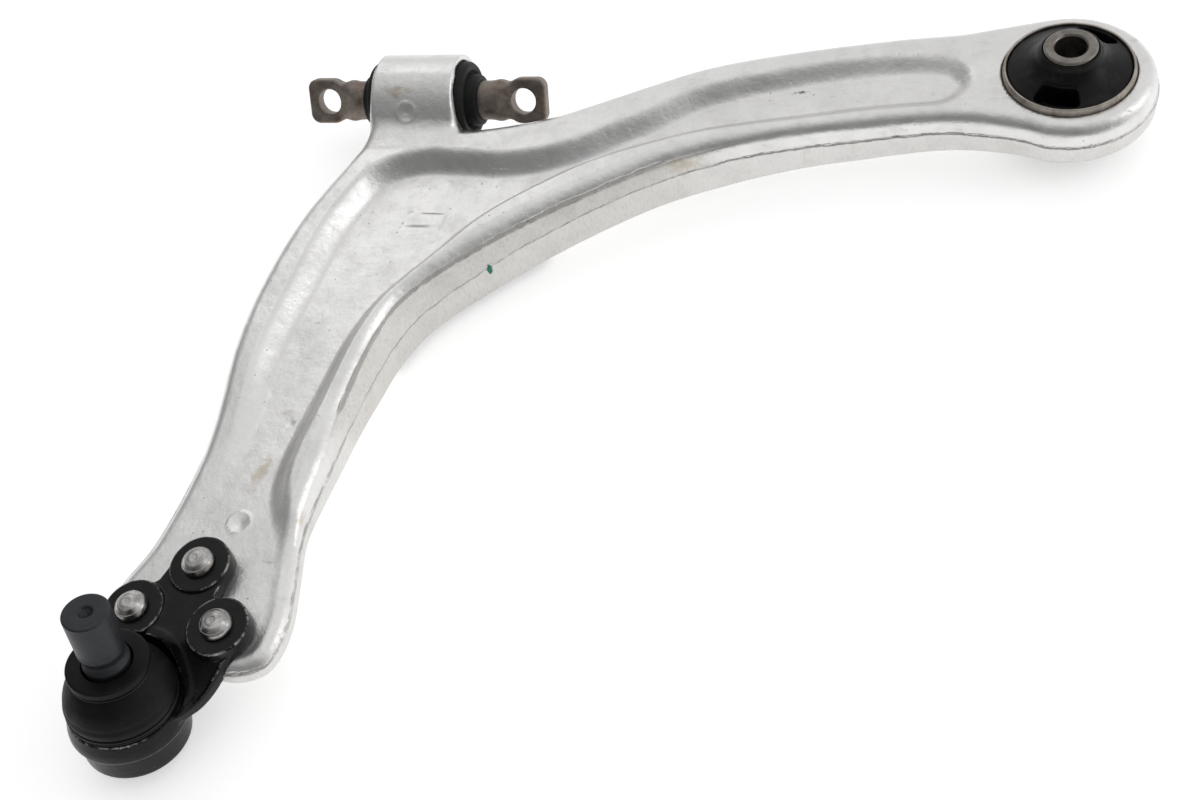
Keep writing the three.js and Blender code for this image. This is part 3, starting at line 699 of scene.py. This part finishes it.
class Plan:
    """Maps of the arm over the plan: distances to its outlines and heights, read by cubic curves."""

    low = np.array((-396.0, -358.0))
    high = np.array((60.0, 60.0))
    step = 1.0

    def __init__(self):
        axes = [np.arange(a, b + self.step, self.step) for a, b in zip(self.low, self.high)]
        x, y = np.meshgrid(*axes, indexing="ij")
        eye = arc_points(EYE_RADIUS, -118, 100, 17)
        outline = smooth_outline([*eye, *BACK_EDGE, *CONCAVE_EDGE], 2.5)
        upper = smooth_outline([*WEB_BACK_SIDE, *PAD_EDGE, *WEB_CONCAVE_SIDE], 3)
        lower = smooth_outline([*WEB_BACK_SIDE, *LOWER_WEB_END, *WEB_CONCAVE_SIDE], 3)
        edges = [polygon_distance(x, y, p) for p in (outline, upper, lower)]
        concave = polygon_distance(x, y, smooth_outline(TRIM_REGION, 6))
        trim = ease(0.5 - concave / 36)
        heights = [self.soften(row, 5.0) for row in self.heights(x, y)]
        self.maps = np.array([*edges, *heights, trim])

    @staticmethod
    def heights(x, y):
        nearest = np.full(x.shape, 1e12)
        rows = np.zeros((STATIONS.shape[1] - 2, *x.shape))
        for a, b in zip(STATIONS[:-1], STATIONS[1:]):
            dx, dy = b[:2] - a[:2]
            t = np.clip(((x - a[0]) * dx + (y - a[1]) * dy) / (dx * dx + dy * dy), 0, 1)
            gap = (a[0] + t * dx - x) ** 2 + (a[1] + t * dy - y) ** 2
            closer = gap < nearest
            nearest = np.where(closer, gap, nearest)
            for row, first, last in zip(rows, a[2:], b[2:]):
                row[closer] = (first + (last - first) * t)[closer]
        return rows

    def soften(self, row, width):
        reach = int(3 * width / self.step)
        weights = np.exp(-0.5 * (np.arange(-reach, reach + 1) * self.step / width) ** 2)
        weights /= weights.sum()
        for axis in (0, 1):
            padded = np.pad(row, [(reach, reach) if a == axis else (0, 0) for a in (0, 1)], "edge")
            row = np.apply_along_axis(np.convolve, axis, padded, weights, "valid")
        return row

    def read(self, x, y):
        shape = np.broadcast(x, y).shape
        u = (np.broadcast_to(x, shape) - self.low[0]) / self.step
        v = (np.broadcast_to(y, shape) - self.low[1]) / self.step
        i = np.clip(np.floor(u).astype(int), 1, self.maps.shape[1] - 3)
        j = np.clip(np.floor(v).astype(int), 1, self.maps.shape[2] - 3)
        out = np.zeros((len(self.maps), *shape))
        row_weights = cubic_weights(u - i)
        column_weights = cubic_weights(v - j)
        for a in range(4):
            for b in range(4):
                out += self.maps[:, i + a - 1, j + b - 1] * row_weights[a] * column_weights[b]
        return out


def cubic_weights(t):
    return (
        ((2 - t) * t - 1) * t / 2,
        ((3 * t - 5) * t * t + 2) / 2,
        ((4 - 3 * t) * t + 1) * t / 2,
        (t - 1) * t * t / 2,
    )


# where the flash is trimmed back in a broad band, round the inside of the corner
TRIM_REGION = (
    (-150, -20), (-180, -75), (-235, -120), (-268, -160), (-280, -215), (-330, -212),
    (-318, -130), (-285, -90), (-240, -55), (-190, -25),
)
# round marks left by ejector pins: x, y, radius, depth
EJECTOR_MARKS = ((-329, -265, 5.0, 0.7), (-39, 14, 5.2, 0.8), (-323, -213, 2.6, 0.35))
MARK_PAD = (-293, -92.7, math.radians(-4), 10, 4.2)


def dish(x, y, cx, cy, radius, depth):
    """A shallow round dish with a raised lip."""
    r = np.hypot(x - cx, y - cy) / radius
    return -depth * (1 - ease(r / 0.85)) + 0.45 * depth * np.exp(-((r - 1) / 0.16) ** 2)


def spread(marks, points):
    """1 at the middle of each mark, falling past 0.5 at its edge to 0. A mark is x, y, z, turn in
    degrees, half its length and half its width."""
    total = np.zeros(len(points))
    for x, y, z, turn, half_length, half_width in marks:
        a, b, c = (points - (x, y, z)).T
        cos, sin = math.cos(math.radians(turn)), math.sin(math.radians(turn))
        along = (a * cos + b * sin) / half_length
        across = (b * cos - a * sin) / half_width
        reach = np.sqrt(along ** 2 + across ** 2 + (c / (2 * half_width)) ** 2)
        total = np.maximum(total, np.clip(1 - reach / 2, 0, 1))
    return total


# dark scuffs, brown stains and dabs of inspection paint: place, turn, half length, half width
SCUFFS = (
    (-123, -8, -5, 6, 5, 1.2), (-117, -9, -5, -30, 2.5, 0.9), (-218, -29, 0, 24, 4.5, 1.1),
    (-227, -33, 0, 24, 3, 1.0), (-354, -124, 0, 70, 3, 0.9), (-255, -93, -6, 40, 5, 0.8),
    (-297, -39, 2, -14, 4, 0.7), (-281, -40, 1, -10, 9, 0.7), (-313, -300, -5, 0, 1.0, 0.7),
    (-307, -331, -7, 10, 1.6, 0.7), (-24, 33, 0, 20, 3, 0.8), (-240, -97, -3, 40, 5, 0.6),
    (-128, -9, -5, 10, 3, 0.7), (-205, -24, 0, 24, 3, 0.7), (-322, -60, 1, 0, 1.4, 0.7),
)
STAINS = (
    (-194, -48, -2, 20, 7, 2.6), (-63, -34, -3, 10, 7, 2.2), (-77, -34, -6, 10, 9, 1.5),
    (-328, -240, -6, 80, 9, 3.5), (-326, -208, -6, 20, 3.5, 2.5), (-318, -30, 18, 0, 9, 3),
    (-348, -75, 1, 60, 5, 2), (-172, -56, -6, 20, 9, 2.5), (-300, -262, -3, 80, 7, 2),
    (30, 22, 0, 50, 5, 2), (-330, -52, 2, 40, 6, 2), (-232, -99, -8, 40, 12, 3),
)
PAINT_DABS = ((-265.7, -125.2, -4, 30, 1.9, 1.7), (-257, -115, -15, 75, 1.5, 1.8))


def arm_shape(maps, x, y, z):
    outline, upper_web, lower_web, crest, under, floor, lower_floor, parting, trim = maps
    above = z - parting
    up = np.maximum(above, 0)
    down = np.maximum(-above, 0)
    side = outline + (0.10 + 0.20 * trim) * up + DRAFT * down
    band = trim * ease((TRIM_TOP - z) / 0.9 + 0.5) * ease(above / 0.8 + 0.5)
    side = side - 0.8 * band - 0.75 * ease(-above / 0.9 + 0.5)

    # the ribs die away towards the pad, the front one altogether
    front = ease((-165 - y) / 88) * ease((-316 - x) / 16)
    end = ease((-235 - y) / 60)
    crest = crest + (floor - crest) * np.maximum(front, 0.35 * end)
    top = floor + (crest - floor) * ease((upper_web + 3.0) / (RIB_RUN + 6 * end))
    for mark in EJECTOR_MARKS:
        top = top + dish(x, y, *mark)
    mark_x, mark_y, turn, half_length, half_width = MARK_PAD
    a = (x - mark_x) * math.cos(turn) + (y - mark_y) * math.sin(turn)
    b = (y - mark_y) * math.cos(turn) - (x - mark_x) * math.sin(turn)
    pad = both(np.abs(a) - half_length, np.abs(b) - half_width, 1.0)
    top = top + 0.5 * ease(0.5 - pad / 0.9)
    bottom = lower_floor + (under - lower_floor) * ease((lower_web + 1.8) / RIB_RUN)
    body = both(side, z - top, EDGE_ROUND + 1.6)
    body = both(body, bottom - z, EDGE_ROUND - 1.8)

    dy = y - BARREL[1]
    dz = z - BARREL[2]
    across = np.abs(x - BARREL[0])
    from_pin = np.hypot(dy, dz)
    pit = np.sqrt((x + 313) ** 2 + (y + 36.5) ** 2 + (z - 9) ** 2)
    skin = BARREL_RADIUS - 0.9 * (1 - ease(pit / 4.2)) + 0.35 * np.exp(-((pit - 5) / 0.9) ** 2)
    barrel = both(from_pin - skin, across - BARREL_HALF, 0.9)
    ramp = (z - 7.6 - 0.50 * (y + 36.5)) * 0.894
    neck = both(across - BARREL_HALF + 0.3, ramp, 3.0)
    neck = both(neck, np.maximum(np.maximum(-54 - y, y + 22), -23.5 - z), 1.0)
    arm = either(body, either(barrel, neck, 7.0), 6.0)

    bore = both(from_pin - BARREL_BORE, across - 30, 0.3)
    arm = without(arm, bore, 0.8)
    arm = without(arm, np.hypot(x, y) - CAN_RADIUS - 0.1, 0.6)
    qx, qy, qz = x - JOINT_BASE[0], y - JOINT_BASE[1], z - JOINT_BASE[2]
    s = qx * JOINT_AXIS[0] + qy * JOINT_AXIS[1] + qz * JOINT_AXIS[2]
    r = np.sqrt(np.maximum(qx * qx + qy * qy + qz * qz - s * s, 0))
    arm = without(arm, r - 28, 0.8)
    for lug_x, lug_y in LUGS:
        arm = without(arm, np.hypot(x - lug_x, y - lug_y) - RIVET_SHANK - 0.2, 0.4)
    return arm


def make_arm():
    plan = Plan()

    def field(x, y, z):
        return arm_shape(plan.read(x, y), x, y, z)

    def on_grid(xs, ys, zs):
        maps = plan.read(xs[:, None], ys[None, :])
        values = np.empty((len(xs), len(ys), len(zs)), np.float32)
        for k, z in enumerate(zs):
            values[:, :, k] = arm_shape(maps, xs[:, None], ys[None, :], z)
        return values

    points, quads, normals = meshed(
        field, (-380, -340, -31), (44, 44, 23), (1.15, 1.15, 0.85), on_grid)
    obj = make_object("arm", points, quads, ALUMINIUM, normals)
    maps = plan.read(points[:, 0], points[:, 1])
    above = points[:, 2] - maps[7]
    near_side = ease(1 - (-maps[0] - 3.5) / 3)
    trimmed = maps[8] * ease((TRIM_TOP + 0.6 - points[:, 2]) / 1.2 + 0.5) * near_side
    trimmed = np.maximum(trimmed, near_side * 0.55 * ease(-above / 1.2 + 0.3))
    add_attribute(obj, "above", np.where(near_side > 0.02, above, 20.0))
    add_attribute(obj, "trimmed", trimmed)
    # distance from the trim step, where painted crease shade is drawn
    add_attribute(obj, "edge", maps[8] * np.abs(points[:, 2] - TRIM_TOP) + 9 * (1 - maps[8] * near_side))
    for name, marks in (("scuffed", SCUFFS), ("stained", STAINS), ("painted", PAINT_DABS)):
        add_attribute(obj, name, spread(marks, points))
    return finish_piece(obj, "arm", "arm_forging")


make_arm()


# ------------------------------------------------------------------------------------------------
# Front bush
# ------------------------------------------------------------------------------------------------
def make_front_bush():
    sleeve_outer = BARREL_BORE - 0.3
    half = BARREL_HALF - 1
    sleeve = lathe("front_outer_sleeve", [
        [sleeve_outer - 1.2, -half, 0.3], [sleeve_outer, -half, 0.4], [sleeve_outer, half, 0.4],
        [sleeve_outer - 1.2, half, 0.3]], SLEEVE_STEEL, on_barrel)
    finish_piece(sleeve, "arm", "front_bush_outer_sleeve")

    lip = BARREL_BORE - 0.3
    inner = PIN_RADIUS + 0.25
    right = [[sleeve_outer - 1.5, BARREL_HALF - 0.6, 0], [lip, BARREL_HALF - 0.6, 0.2],
             [lip, BARREL_HALF + 2.6, 1.1], [18.0, BARREL_HALF + 4.4, 1.0],
             [15.2, BARREL_HALF + 4.6, 1.0], [13.8, BARREL_HALF + 2.4, 0.7],
             [13.2, BARREL_HALF + 3.8, 0.5], [12.7, BARREL_HALF + 7.0, 0.9],
             [12.2, BARREL_HALF + 9.0, 0.7], [inner, BARREL_HALF + 9.6, 0.3]]
    left = [[r, -x, k] for r, x, k in reversed(right)]
    rubber = lathe("front_rubber", [*left, *right], PIN_RUBBER, on_barrel, 128)
    finish_piece(rubber, "arm", "front_bush_rubber")

    waves = rounded([[0, PIN_RADIUS, 0], [36.0, PIN_RADIUS, 2], [40.2, 10.5, 2.4], [45, 8.7, 2.4],
                     [49.0, EAR_HALF_HEIGHT, 2.2], [70, EAR_HALF_HEIGHT, 0]], False)

    def pin_shape(x, y, z):
        along = np.abs(x - BARREL[0])
        dy = y - BARREL[1]
        dz = z - BARREL[2]
        height = np.abs(dy * math.cos(EAR_TILT) + dz * math.sin(EAR_TILT))
        depth = np.abs(dz * math.cos(EAR_TILT) - dy * math.sin(EAR_TILT))
        flat = ease((along - 34) / 15)
        half_height = np.interp(along, waves[:, 0], waves[:, 1])
        half_depth = PIN_RADIUS + (EAR_THICKNESS / 2 - PIN_RADIUS) * flat
        plan_view = both(height - half_height, along - EAR_END, 4.8)
        pin = both(plan_view, depth - half_depth, PIN_RADIUS - 0.2 + (1.5 - PIN_RADIUS) * flat)
        return without(pin, np.hypot(along - EAR_HALF_SPACING, height) - EAR_HOLE_RADIUS, 0.7)

    reach = EAR_END + 1.5
    low = BARREL - np.array((reach, 12, 12))
    high = BARREL + np.array((reach, 12, 12))
    points, quads, normals = meshed(pin_shape, low, high, (0.6, 0.6, 0.6))
    pin = make_object("front_bar_pin", points, quads, PIN_STEEL, normals)
    finish_piece(pin, "front_bar_pin", "front_bush_bar_pin")


make_front_bush()


# ------------------------------------------------------------------------------------------------
# Rear bush
# ------------------------------------------------------------------------------------------------
REAR_MIDDLE = (SLEEVE_TOP + SLEEVE_BOTTOM) / 2
POCKETS = (60, 257)


def make_rear_bush():
    wall = CAN_RADIUS - 2.1
    can = lathe("rear_outer_can", [
        [wall, CAN_BOTTOM, 0.5], [CAN_RADIUS - 1.2, CAN_BOTTOM, 0.8], [CAN_RADIUS - 0.1, CAN_BOTTOM + 3, 1],
        [CAN_RADIUS - 0.1, -0.6, 0.8], [CAN_RADIUS - 0.9, CAN_TOP, 0.9], [wall + 0.2, CAN_TOP, 0.5],
        [wall - 0.1, CAN_TOP - 1.4, 0.3]], CAN_STEEL, None, 160)
    finish_piece(can, "arm", "rear_bush_outer_can")

    sleeve = lathe("rear_inner_sleeve", [
        [SLEEVE_BORE, SLEEVE_BOTTOM + 0.8, 0.1], [SLEEVE_BORE + 0.8, SLEEVE_BOTTOM, 0.3],
        [SLEEVE_RADIUS - 0.9, SLEEVE_BOTTOM, 0.5], [SLEEVE_RADIUS, SLEEVE_BOTTOM + 0.9, 0.5],
        [SLEEVE_RADIUS, SLEEVE_TOP - 0.9, 0.5], [SLEEVE_RADIUS - 0.9, SLEEVE_TOP, 0.5],
        [SLEEVE_BORE + 0.9, SLEEVE_TOP, 0.4], [SLEEVE_BORE, SLEEVE_TOP - 0.9, 0.4]],
        SLEEVE_STEEL, None, 128)
    finish_piece(sleeve, "rear_sleeve", "rear_bush_inner_sleeve")

    outer = wall - 0.3
    cone = rounded([[SLEEVE_RADIUS - 1, 23.3, 0], [13.2, 23.3, 0.9], [14.4, 19.6, 2.6],
                    [18.2, 16.2, 4], [24, 13.3, 4], [outer - 0.8, 12.2, 1], [outer + 1, 11.2, 0]], False)
    bore = rounded([[-2, 15.4, 0], [7, 15.2, 2], [13, SLEEVE_RADIUS + 0.2, 2],
                    [30, SLEEVE_RADIUS + 0.2, 0]], False)

    def rubber_shape(x, y, z):
        height = z - REAR_MIDDLE
        r = np.hypot(x, y)
        shape = both(r - outer, (height - np.interp(r, cone[:, 0], cone[:, 1])) * 0.8, 0.5)
        for centre in POCKETS:
            turn = np.arctan2(y, x) - math.radians(centre)
            turn = np.abs((turn + math.pi) % (2 * math.pi) - math.pi)
            kidney = both(np.abs(r - 22.3) - 4.1, (turn - math.radians(24)) * 20, 2.0)
            shape = without(shape, both(kidney, 4.2 - height, 1.2), 1.0)
        shape = both(shape, np.interp(height, bore[:, 0], bore[:, 1]) - r, 0.4)
        return both(shape, -height, 0.1)

    reach = outer + 1.5
    points, quads, normals = meshed(rubber_shape, (-reach, -reach, REAR_MIDDLE - 1),
                                    (reach, reach, REAR_MIDDLE + 25), (0.65, 0.65, 0.65))
    mirrored = points * (1, 1, -1) + (0, 0, 2 * REAR_MIDDLE)
    halves = (("rear_rubber_upper", points, quads, normals, 1),
              ("rear_rubber_lower", mirrored, quads[:, ::-1], normals * (1, 1, -1), -1))
    for name, where, faces, facing, way in halves:
        rubber = make_object(name, where, faces, BUSH_RUBBER, facing)
        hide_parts("rear_bush_rubber")
        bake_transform(rubber)


make_rear_bush()


# ------------------------------------------------------------------------------------------------
# Ball joint
# ------------------------------------------------------------------------------------------------
def tapered_link(x, y, a, ra, b, rb):
    """Plan distance to the shape round two circles and the tangents between them."""
    length = math.hypot(b[0] - a[0], b[1] - a[1])
    ux, uy = (b[0] - a[0]) / length, (b[1] - a[1]) / length
    along = (x - a[0]) * ux + (y - a[1]) * uy
    across = np.abs((x - a[0]) * uy - (y - a[1]) * ux)
    lean = (ra - rb) / length
    level = math.sqrt(1 - lean * lean)
    k = along * level - across * lean
    middle = across * level + along * lean - ra
    near = np.hypot(along, across) - ra
    far = np.hypot(along - length, across) - rb
    return np.where(k < 0, near, np.where(k > level * length, far, middle))


def segment_distance(x, y, a, b):
    ax, ay = a
    dx, dy = b[0] - ax, b[1] - ay
    t = np.clip(((x - ax) * dx + (y - ay) * dy) / (dx * dx + dy * dy), 0, 1)
    return np.hypot(x - ax - t * dx, y - ay - t * dy)


# where the link from each lug ends over the cup: middle and radius
PLATE_ENDS = (((-347, -338), 18), ((-358, -338), 16), ((-336.4, -340.6), 15))
PLATE_EDGE_RIB = ((-306.5, -326), (-319, -348))


def housing_shape(x, y, z):
    qx, qy, qz = x - JOINT_BASE[0], y - JOINT_BASE[1], z - JOINT_BASE[2]
    s = qx * JOINT_AXIS[0] + qy * JOINT_AXIS[1] + qz * JOINT_AXIS[2]
    r = np.sqrt(np.maximum(qx * qx + qy * qy + qz * qz - s * s, 0))
    cup = r - np.interp(s, CUP_SKIN[:, 1], CUP_SKIN[:, 0])
    cup = both(cup, np.maximum(s + 0.5, CUP_END_S - s), 0.6)
    plan = None
    for lug, (end, end_radius) in zip(LUGS, PLATE_ENDS):
        link = tapered_link(x, y, lug, LUG_RADIUS - 0.5, end, end_radius)
        plan = link if plan is None else either(plan, link, 4.0)
    lugs = np.minimum.reduce([np.hypot(x - a, y - b) for a, b in LUGS]) - LUG_RADIUS
    rim = JOINT_BASE[2] - (qx * JOINT_AXIS[0] + qy * JOINT_AXIS[1] + 0.5) / JOINT_AXIS[2]
    deck = PLATE_TOP + (rim - PLATE_TOP) * ease((-321 - y) / 26)
    floor = np.minimum(PLATE_BOTTOM, deck - 5)
    plate = both(plan, np.maximum(z - deck, floor - z), 0.9)
    pads = both(lugs, np.maximum(z - LUG_TOP, PLATE_BOTTOM - z), 0.9)
    plate = either(plate, pads, 0.8)
    lip = both(np.abs(plan + 1.5) - 1.2, z - deck - 0.9, 0.5)
    lip = both(lip, np.maximum(floor - z, segment_distance(x, y, *PLATE_EDGE_RIB) - 4), 0.5)
    plate = either(plate, lip, 0.6)
    wall = both(r - 27, plan + 4.4, 0.9)
    wall = both(wall, np.maximum(z - deck, -9 - s), 0.9)
    shape = either(either(cup, plate, 1.2), wall, 1.5)
    shape = without(shape, both(r - BOOT_SEAT_RADIUS, -0.5 - s, 0.2), 0.7)
    core = both(r - 15.9, np.maximum(s + 4, -21.7 - s), 0.3)
    shape = without(shape, core, 0.3)
    mouth = both(r - np.interp(s, [-5, -2.6, -1.6, -0.5], [12.2, 12.2, 12.2, 11.2]), -5 - s, 0.2)
    shape = without(shape, mouth, 0.3)
    socket = both(r - np.interp(s, [-24.2, -23.7, -21.7], [17.4, 18.3, 18.3]), s + 21.7, 0.1)
    shape = without(shape, socket, 0.2)
    for a, b in LUGS:
        shape = without(shape, np.hypot(x - a, y - b) - RIVET_SHANK - 0.2, 0.3)
    return shape


CUP_SKIN = rounded([[18.6, -25, 0], [19.6, CUP_END_S, 1], [22, -22.4, 1.4], [22, -10.6, 0.6],
                    [23.9, -9.7, 0.7], [24.3, -8.4, 0.8], [24.0, -5.6, 2], [22.8, -1.8, 1],
                    [22.3, -0.4, 0.4], [22.2, 1, 0]], False)


def convexity(points, quads, normals):
    """How sharply the skin bends outward at each point, in 1/mm."""
    total = np.zeros(len(points))
    count = np.zeros(len(points))
    for side in range(4):
        a, b = quads[:, side], quads[:, (side + 1) % 4]
        step = points[a] - points[b]
        bend = np.sum((normals[a] - normals[b]) * step, 1) / np.maximum(np.sum(step * step, 1), 0.01)
        for end in (a, b):
            np.add.at(total, end, bend)
            np.add.at(count, end, 1)
    return total / np.maximum(count, 1)


def make_ball_joint():
    points, quads, normals = meshed(
        housing_shape, (-380, -378, -33), (-300, -274, 6), (0.8, 0.8, 0.7))
    housing = make_object("ball_joint_housing_visual", points, quads, BLACK_COAT, normals)
    # convexity drives the painted edge glints, kept to the plate and off the cup's rim
    on_plate = ease((points[:, 2] + 8.5) / 3)
    add_attribute(housing, "edge_glint", convexity(points, quads, normals) * on_plate)
    finish_piece(housing, "arm", "ball_joint_housing")


make_ball_joint()


def ball_profile(radius, start, end, count):
    angles = np.linspace(math.asin((start - BALL_S) / radius), math.asin((end - BALL_S) / radius), count)
    return [[radius * math.cos(a), BALL_S + radius * math.sin(a), 0] for a in angles]


def make_joint_internals():
    cavity = BALL_RADIUS + 0.3
    upper = lathe("seat_upper", [[15.6, BALL_S + 0.2, 0.3], [15.6, -4.3, 0.6], [12, -3.6, 0.2],
                                 *ball_profile(cavity, -3.6, BALL_S + 0.2, 14)], PLASTIC, on_joint)
    finish_piece(upper, "arm", "ball_seat_upper")
    lower = lathe("seat_lower", [[15.6, BALL_S - 0.2, 0.3], [15.6, -18.6, 0.6], [13, -20.4, 0.2],
                                 *ball_profile(cavity, -20.2, BALL_S - 0.2, 14)], PLASTIC, on_joint)
    finish_piece(lower, "arm", "ball_seat_lower")
    washer = lathe("preload_washer", [[7, -20.9, 0.1], [7, -21.5, 0.1], [15.2, -21.1, 0.2],
                                      [15.2, -20.5, 0.2], [13, -20.7, 0.3]], SLEEVE_STEEL, on_joint)
    finish_piece(washer, "arm", "ball_seat_preload_washer")
    cover = lathe("cover_plate", [[0, -21.9, 0], [17.9, -21.9, 0.3], [17.9, -23.3, 0.4], [12, -23.4, 0.8],
                                  [10, -24.4, 0.8], [0, -24.4, 0]], BLACK_COAT, on_joint, 96, False)
    finish_piece(cover, "arm", "ball_joint_cover_plate")


make_joint_internals()


def make_stud():
    low = BALL_S - BALL_RADIUS * 0.94
    high = BALL_S + BALL_RADIUS * 0.826
    profile = [[0, low, 0], *ball_profile(BALL_RADIUS, low, high, 36), [6.2, 3, 1.5], [7.4, 11, 3],
               [8.8, 20, 3], [9.2, 24.6, 0.8], [9.35, 26.7, 0.5], [8.7, 27.8, 0.6], [7.9, 29.3, 1.2],
               [8.0, 31.8, 1.2], [STUD_RADIUS, 33.6, 0.5], [STUD_RADIUS, STUD_TOP_S - 0.5, 0.3],
               [STUD_RADIUS - 0.5, STUD_TOP_S, 0.3], [3.0, STUD_TOP_S, 0.4], [2.1, STUD_TOP_S - 1.1, 0.5],
               [1.1, STUD_TOP_S - 1.5, 0.3], [0, STUD_TOP_S - 2.4, 0]]
    stud = lathe("ball_stud_visual", profile, STUD_STEEL, on_joint, 128, False)
    finish_piece(stud, "stud", "ball_stud")


make_stud()

BOOT_SPLIT = 12.0


def make_boot():
    outside = [[22.1, 0, 0.4], [22.15, 1.1, 0.4], [21.5, 1.7, 0.4], [21.5, 2.9, 0.4],
               [22.3, 3.6, 0.6], [22.4, 6.0, 2.5], [21.6, 8.2, 1.2], [21.4, 9.6, 1.2]]
    above = [[19.6, 14, 3], [17.2, 17.4, 1.6], [15.6, 19.2, 0.8], [15.0, 19.8, 0.4],
             [15.0, 20.9, 0.4], [16.2, 21.6, 0.5], [16.2, 24.6, 0.9], [15.3, 25.1, 0.5],
             [10, 25.1, 0.4], [9.9, 22.5, 0.5], [14.4, 17, 2]]
    split_out = [20.5, BOOT_SPLIT, 0]
    split_in = [17.9, BOOT_SPLIT, 0]
    lower = lathe("dust_boot_lower", [[19.2, 0, 0.3], *outside, split_out, split_in, [18.4, 8, 2]],
                  BOOT_RUBBER, on_joint, 128)
    upper = lathe("dust_boot_upper", [split_in, split_out, *above], BOOT_RUBBER, on_joint, 128)
    stages = ((lower, "arm", "boot", 3.6, BOOT_SPLIT), (upper, "boot", "boot_collar", BOOT_SPLIT, 20.5))
    for piece, first, second, start, end in stages:
        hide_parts("dust_boot")
        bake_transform(piece)


make_boot()


def make_clamp_rings():
    rings = (("lower_clamp_ring", "boot_lower_clamp_ring", "arm", 22.0, 2.4, 0.6),
             ("upper_clamp_ring", "boot_upper_clamp_ring", "boot_collar", 15.6, 20.35, 0.5))
    for name, node, body, radius, s, wire in rings:
        circle = [[radius + wire * math.cos(a), s + wire * math.sin(a), 0]
                  for a in np.linspace(0, 2 * math.pi, 14, endpoint=False)]
        ring = lathe(name, circle, BLACK_COAT, on_joint, 96)
        finish_piece(ring, body, node)


make_clamp_rings()


def make_rivets():
    seat = LUG_TOP + 0.05
    dome = [[RIVET_HEAD - 0.5, seat, 0.2], [RIVET_HEAD, seat + 0.5, 0.3], [RIVET_HEAD, seat + 1.2, 0.9],
            [6.5, seat + 2.6, 0.8], [5.9, seat + 3.3, 0.3], [5.7, seat + 3.3, 0.1],
            [4.4, seat + 4.6, 0.9], [3.6, seat + 5.0, 0.2], [3.5, seat + 4.9, 0.1],
            [2.2, seat + 5.4, 0.5], [1.5, seat + 5.4, 0.1], [1.2, seat + 5.2, 0.1], [0, seat + 5.3, 0]]
    shank = [[0, -20.2, 0], [4, -20.2, 1], [6, -19, 1], [RIVET_HEAD, -17.3, 0.6], [RIVET_SHANK, -17.3, 0.1],
             [RIVET_SHANK, seat, 0.1]]
    for number, (x, y) in enumerate(LUGS, 1):
        rivet = lathe(f"rivet_head_{number}", [*shank, *dome], RIVET_STEEL,
                      lambda p, x=x, y=y: p + (x, y, 0), 80, False)
        finish_piece(rivet, "arm", f"rivet_{number}")


make_rivets()


# ------------------------------------------------------------------------------------------------
# Floor, light and camera
# ------------------------------------------------------------------------------------------------
def make_floor():
    look = Look("pale_floor", Metallic=0.0, Specular_IOR_Level=0.2, Emission_Strength=0.50)
    look.shader.inputs["Emission Color"].default_value = (1.0, 1.0, 1.0, 1.0)
    tone = look.noise(0.4, 2.0, 0.5)
    colour = look.mix(tone, (0.90, 0.90, 0.90), (0.92, 0.92, 0.92))
    rough = look.fit(tone, 0.0, 1.0, 0.75, 0.8)
    look.done(colour, rough, look.bump(tone, 0.0001, 0.1))
    half = 6.0
    mesh = bpy.data.meshes.new("floor")
    corners = [(-half, -half, 0), (half, -half, 0), (half, half, 0), (-half, half, 0)]
    mesh.from_pydata(corners, [], [(0, 1, 2, 3)])
    mesh.materials.append(look.material)
    floor = bpy.data.objects.new("floor", mesh)
    bpy.context.scene.collection.objects.link(floor)


def add_softbox(name, place, target, size, power, colour=(1, 1, 1)):
    data = bpy.data.lights.new(name, "AREA")
    data.shape = "RECTANGLE"
    data.size, data.size_y = size
    data.energy = power
    data.color = colour
    light = bpy.data.objects.new(name, data)
    light.location = place
    light.rotation_euler = (Vector(target) - Vector(place)).to_track_quat("-Z", "Y").to_euler()
    bpy.context.scene.collection.objects.link(light)


def make_studio():
    scene = bpy.context.scene
    scene.view_settings.view_transform = "Standard"
    world = bpy.data.worlds.new("studio")
    scene.world = world
    world.use_nodes = True
    nodes, links = world.node_tree.nodes, world.node_tree.links
    background = nodes["Background"]
    background.inputs["Color"].default_value = (1.0, 1.0, 1.0, 1.0)
    place = nodes.new("ShaderNodeTexCoord")
    split = nodes.new("ShaderNodeSeparateXYZ")
    links.new(place.outputs["Generated"], split.inputs[0])
    ramp = nodes.new("ShaderNodeMapRange")
    ramp.interpolation_type = "SMOOTHSTEP"
    for index, value in enumerate((-0.78, 0.12, 0.22, 0.84), 1):
        ramp.inputs[index].default_value = value
    links.new(split.outputs[1], ramp.inputs[0])
    shade = nodes.new("ShaderNodeMapRange")
    shade.interpolation_type = "SMOOTHSTEP"
    for index, value in enumerate((-0.95, -0.30, 0.35, 1.0), 1):
        shade.inputs[index].default_value = value
    links.new(split.outputs[0], shade.inputs[0])
    product = nodes.new("ShaderNodeMath")
    product.operation = "MULTIPLY"
    links.new(ramp.outputs["Result"], product.inputs[0])
    links.new(shade.outputs["Result"], product.inputs[1])
    links.new(product.outputs[0], background.inputs["Strength"])
    add_softbox("left", (-0.9, 1.2, 1.0), (-0.05, 0, 0), (0.5, 0.9), 0.8)
    add_softbox("right", (1.5, 0.3, 0.8), (0.05, 0, 0), (0.5, 0.9), 2.5)


def make_camera():
    data = bpy.data.cameras.new("camera")
    data.lens = CAMERA_LENS
    data.clip_start = 0.01
    camera = bpy.data.objects.new("camera", data)
    back = np.cross(CAMERA_RIGHT, CAMERA_UP)
    turn = np.stack([CAMERA_RIGHT, CAMERA_UP, back], 1)
    matrix = Matrix(turn.tolist()).to_4x4()
    matrix.translation = Vector(placed(CAMERA_PLACE))
    camera.matrix_world = matrix
    bpy.context.scene.collection.objects.link(camera)
    bpy.context.scene.camera = camera


make_floor()
make_studio()
make_camera()
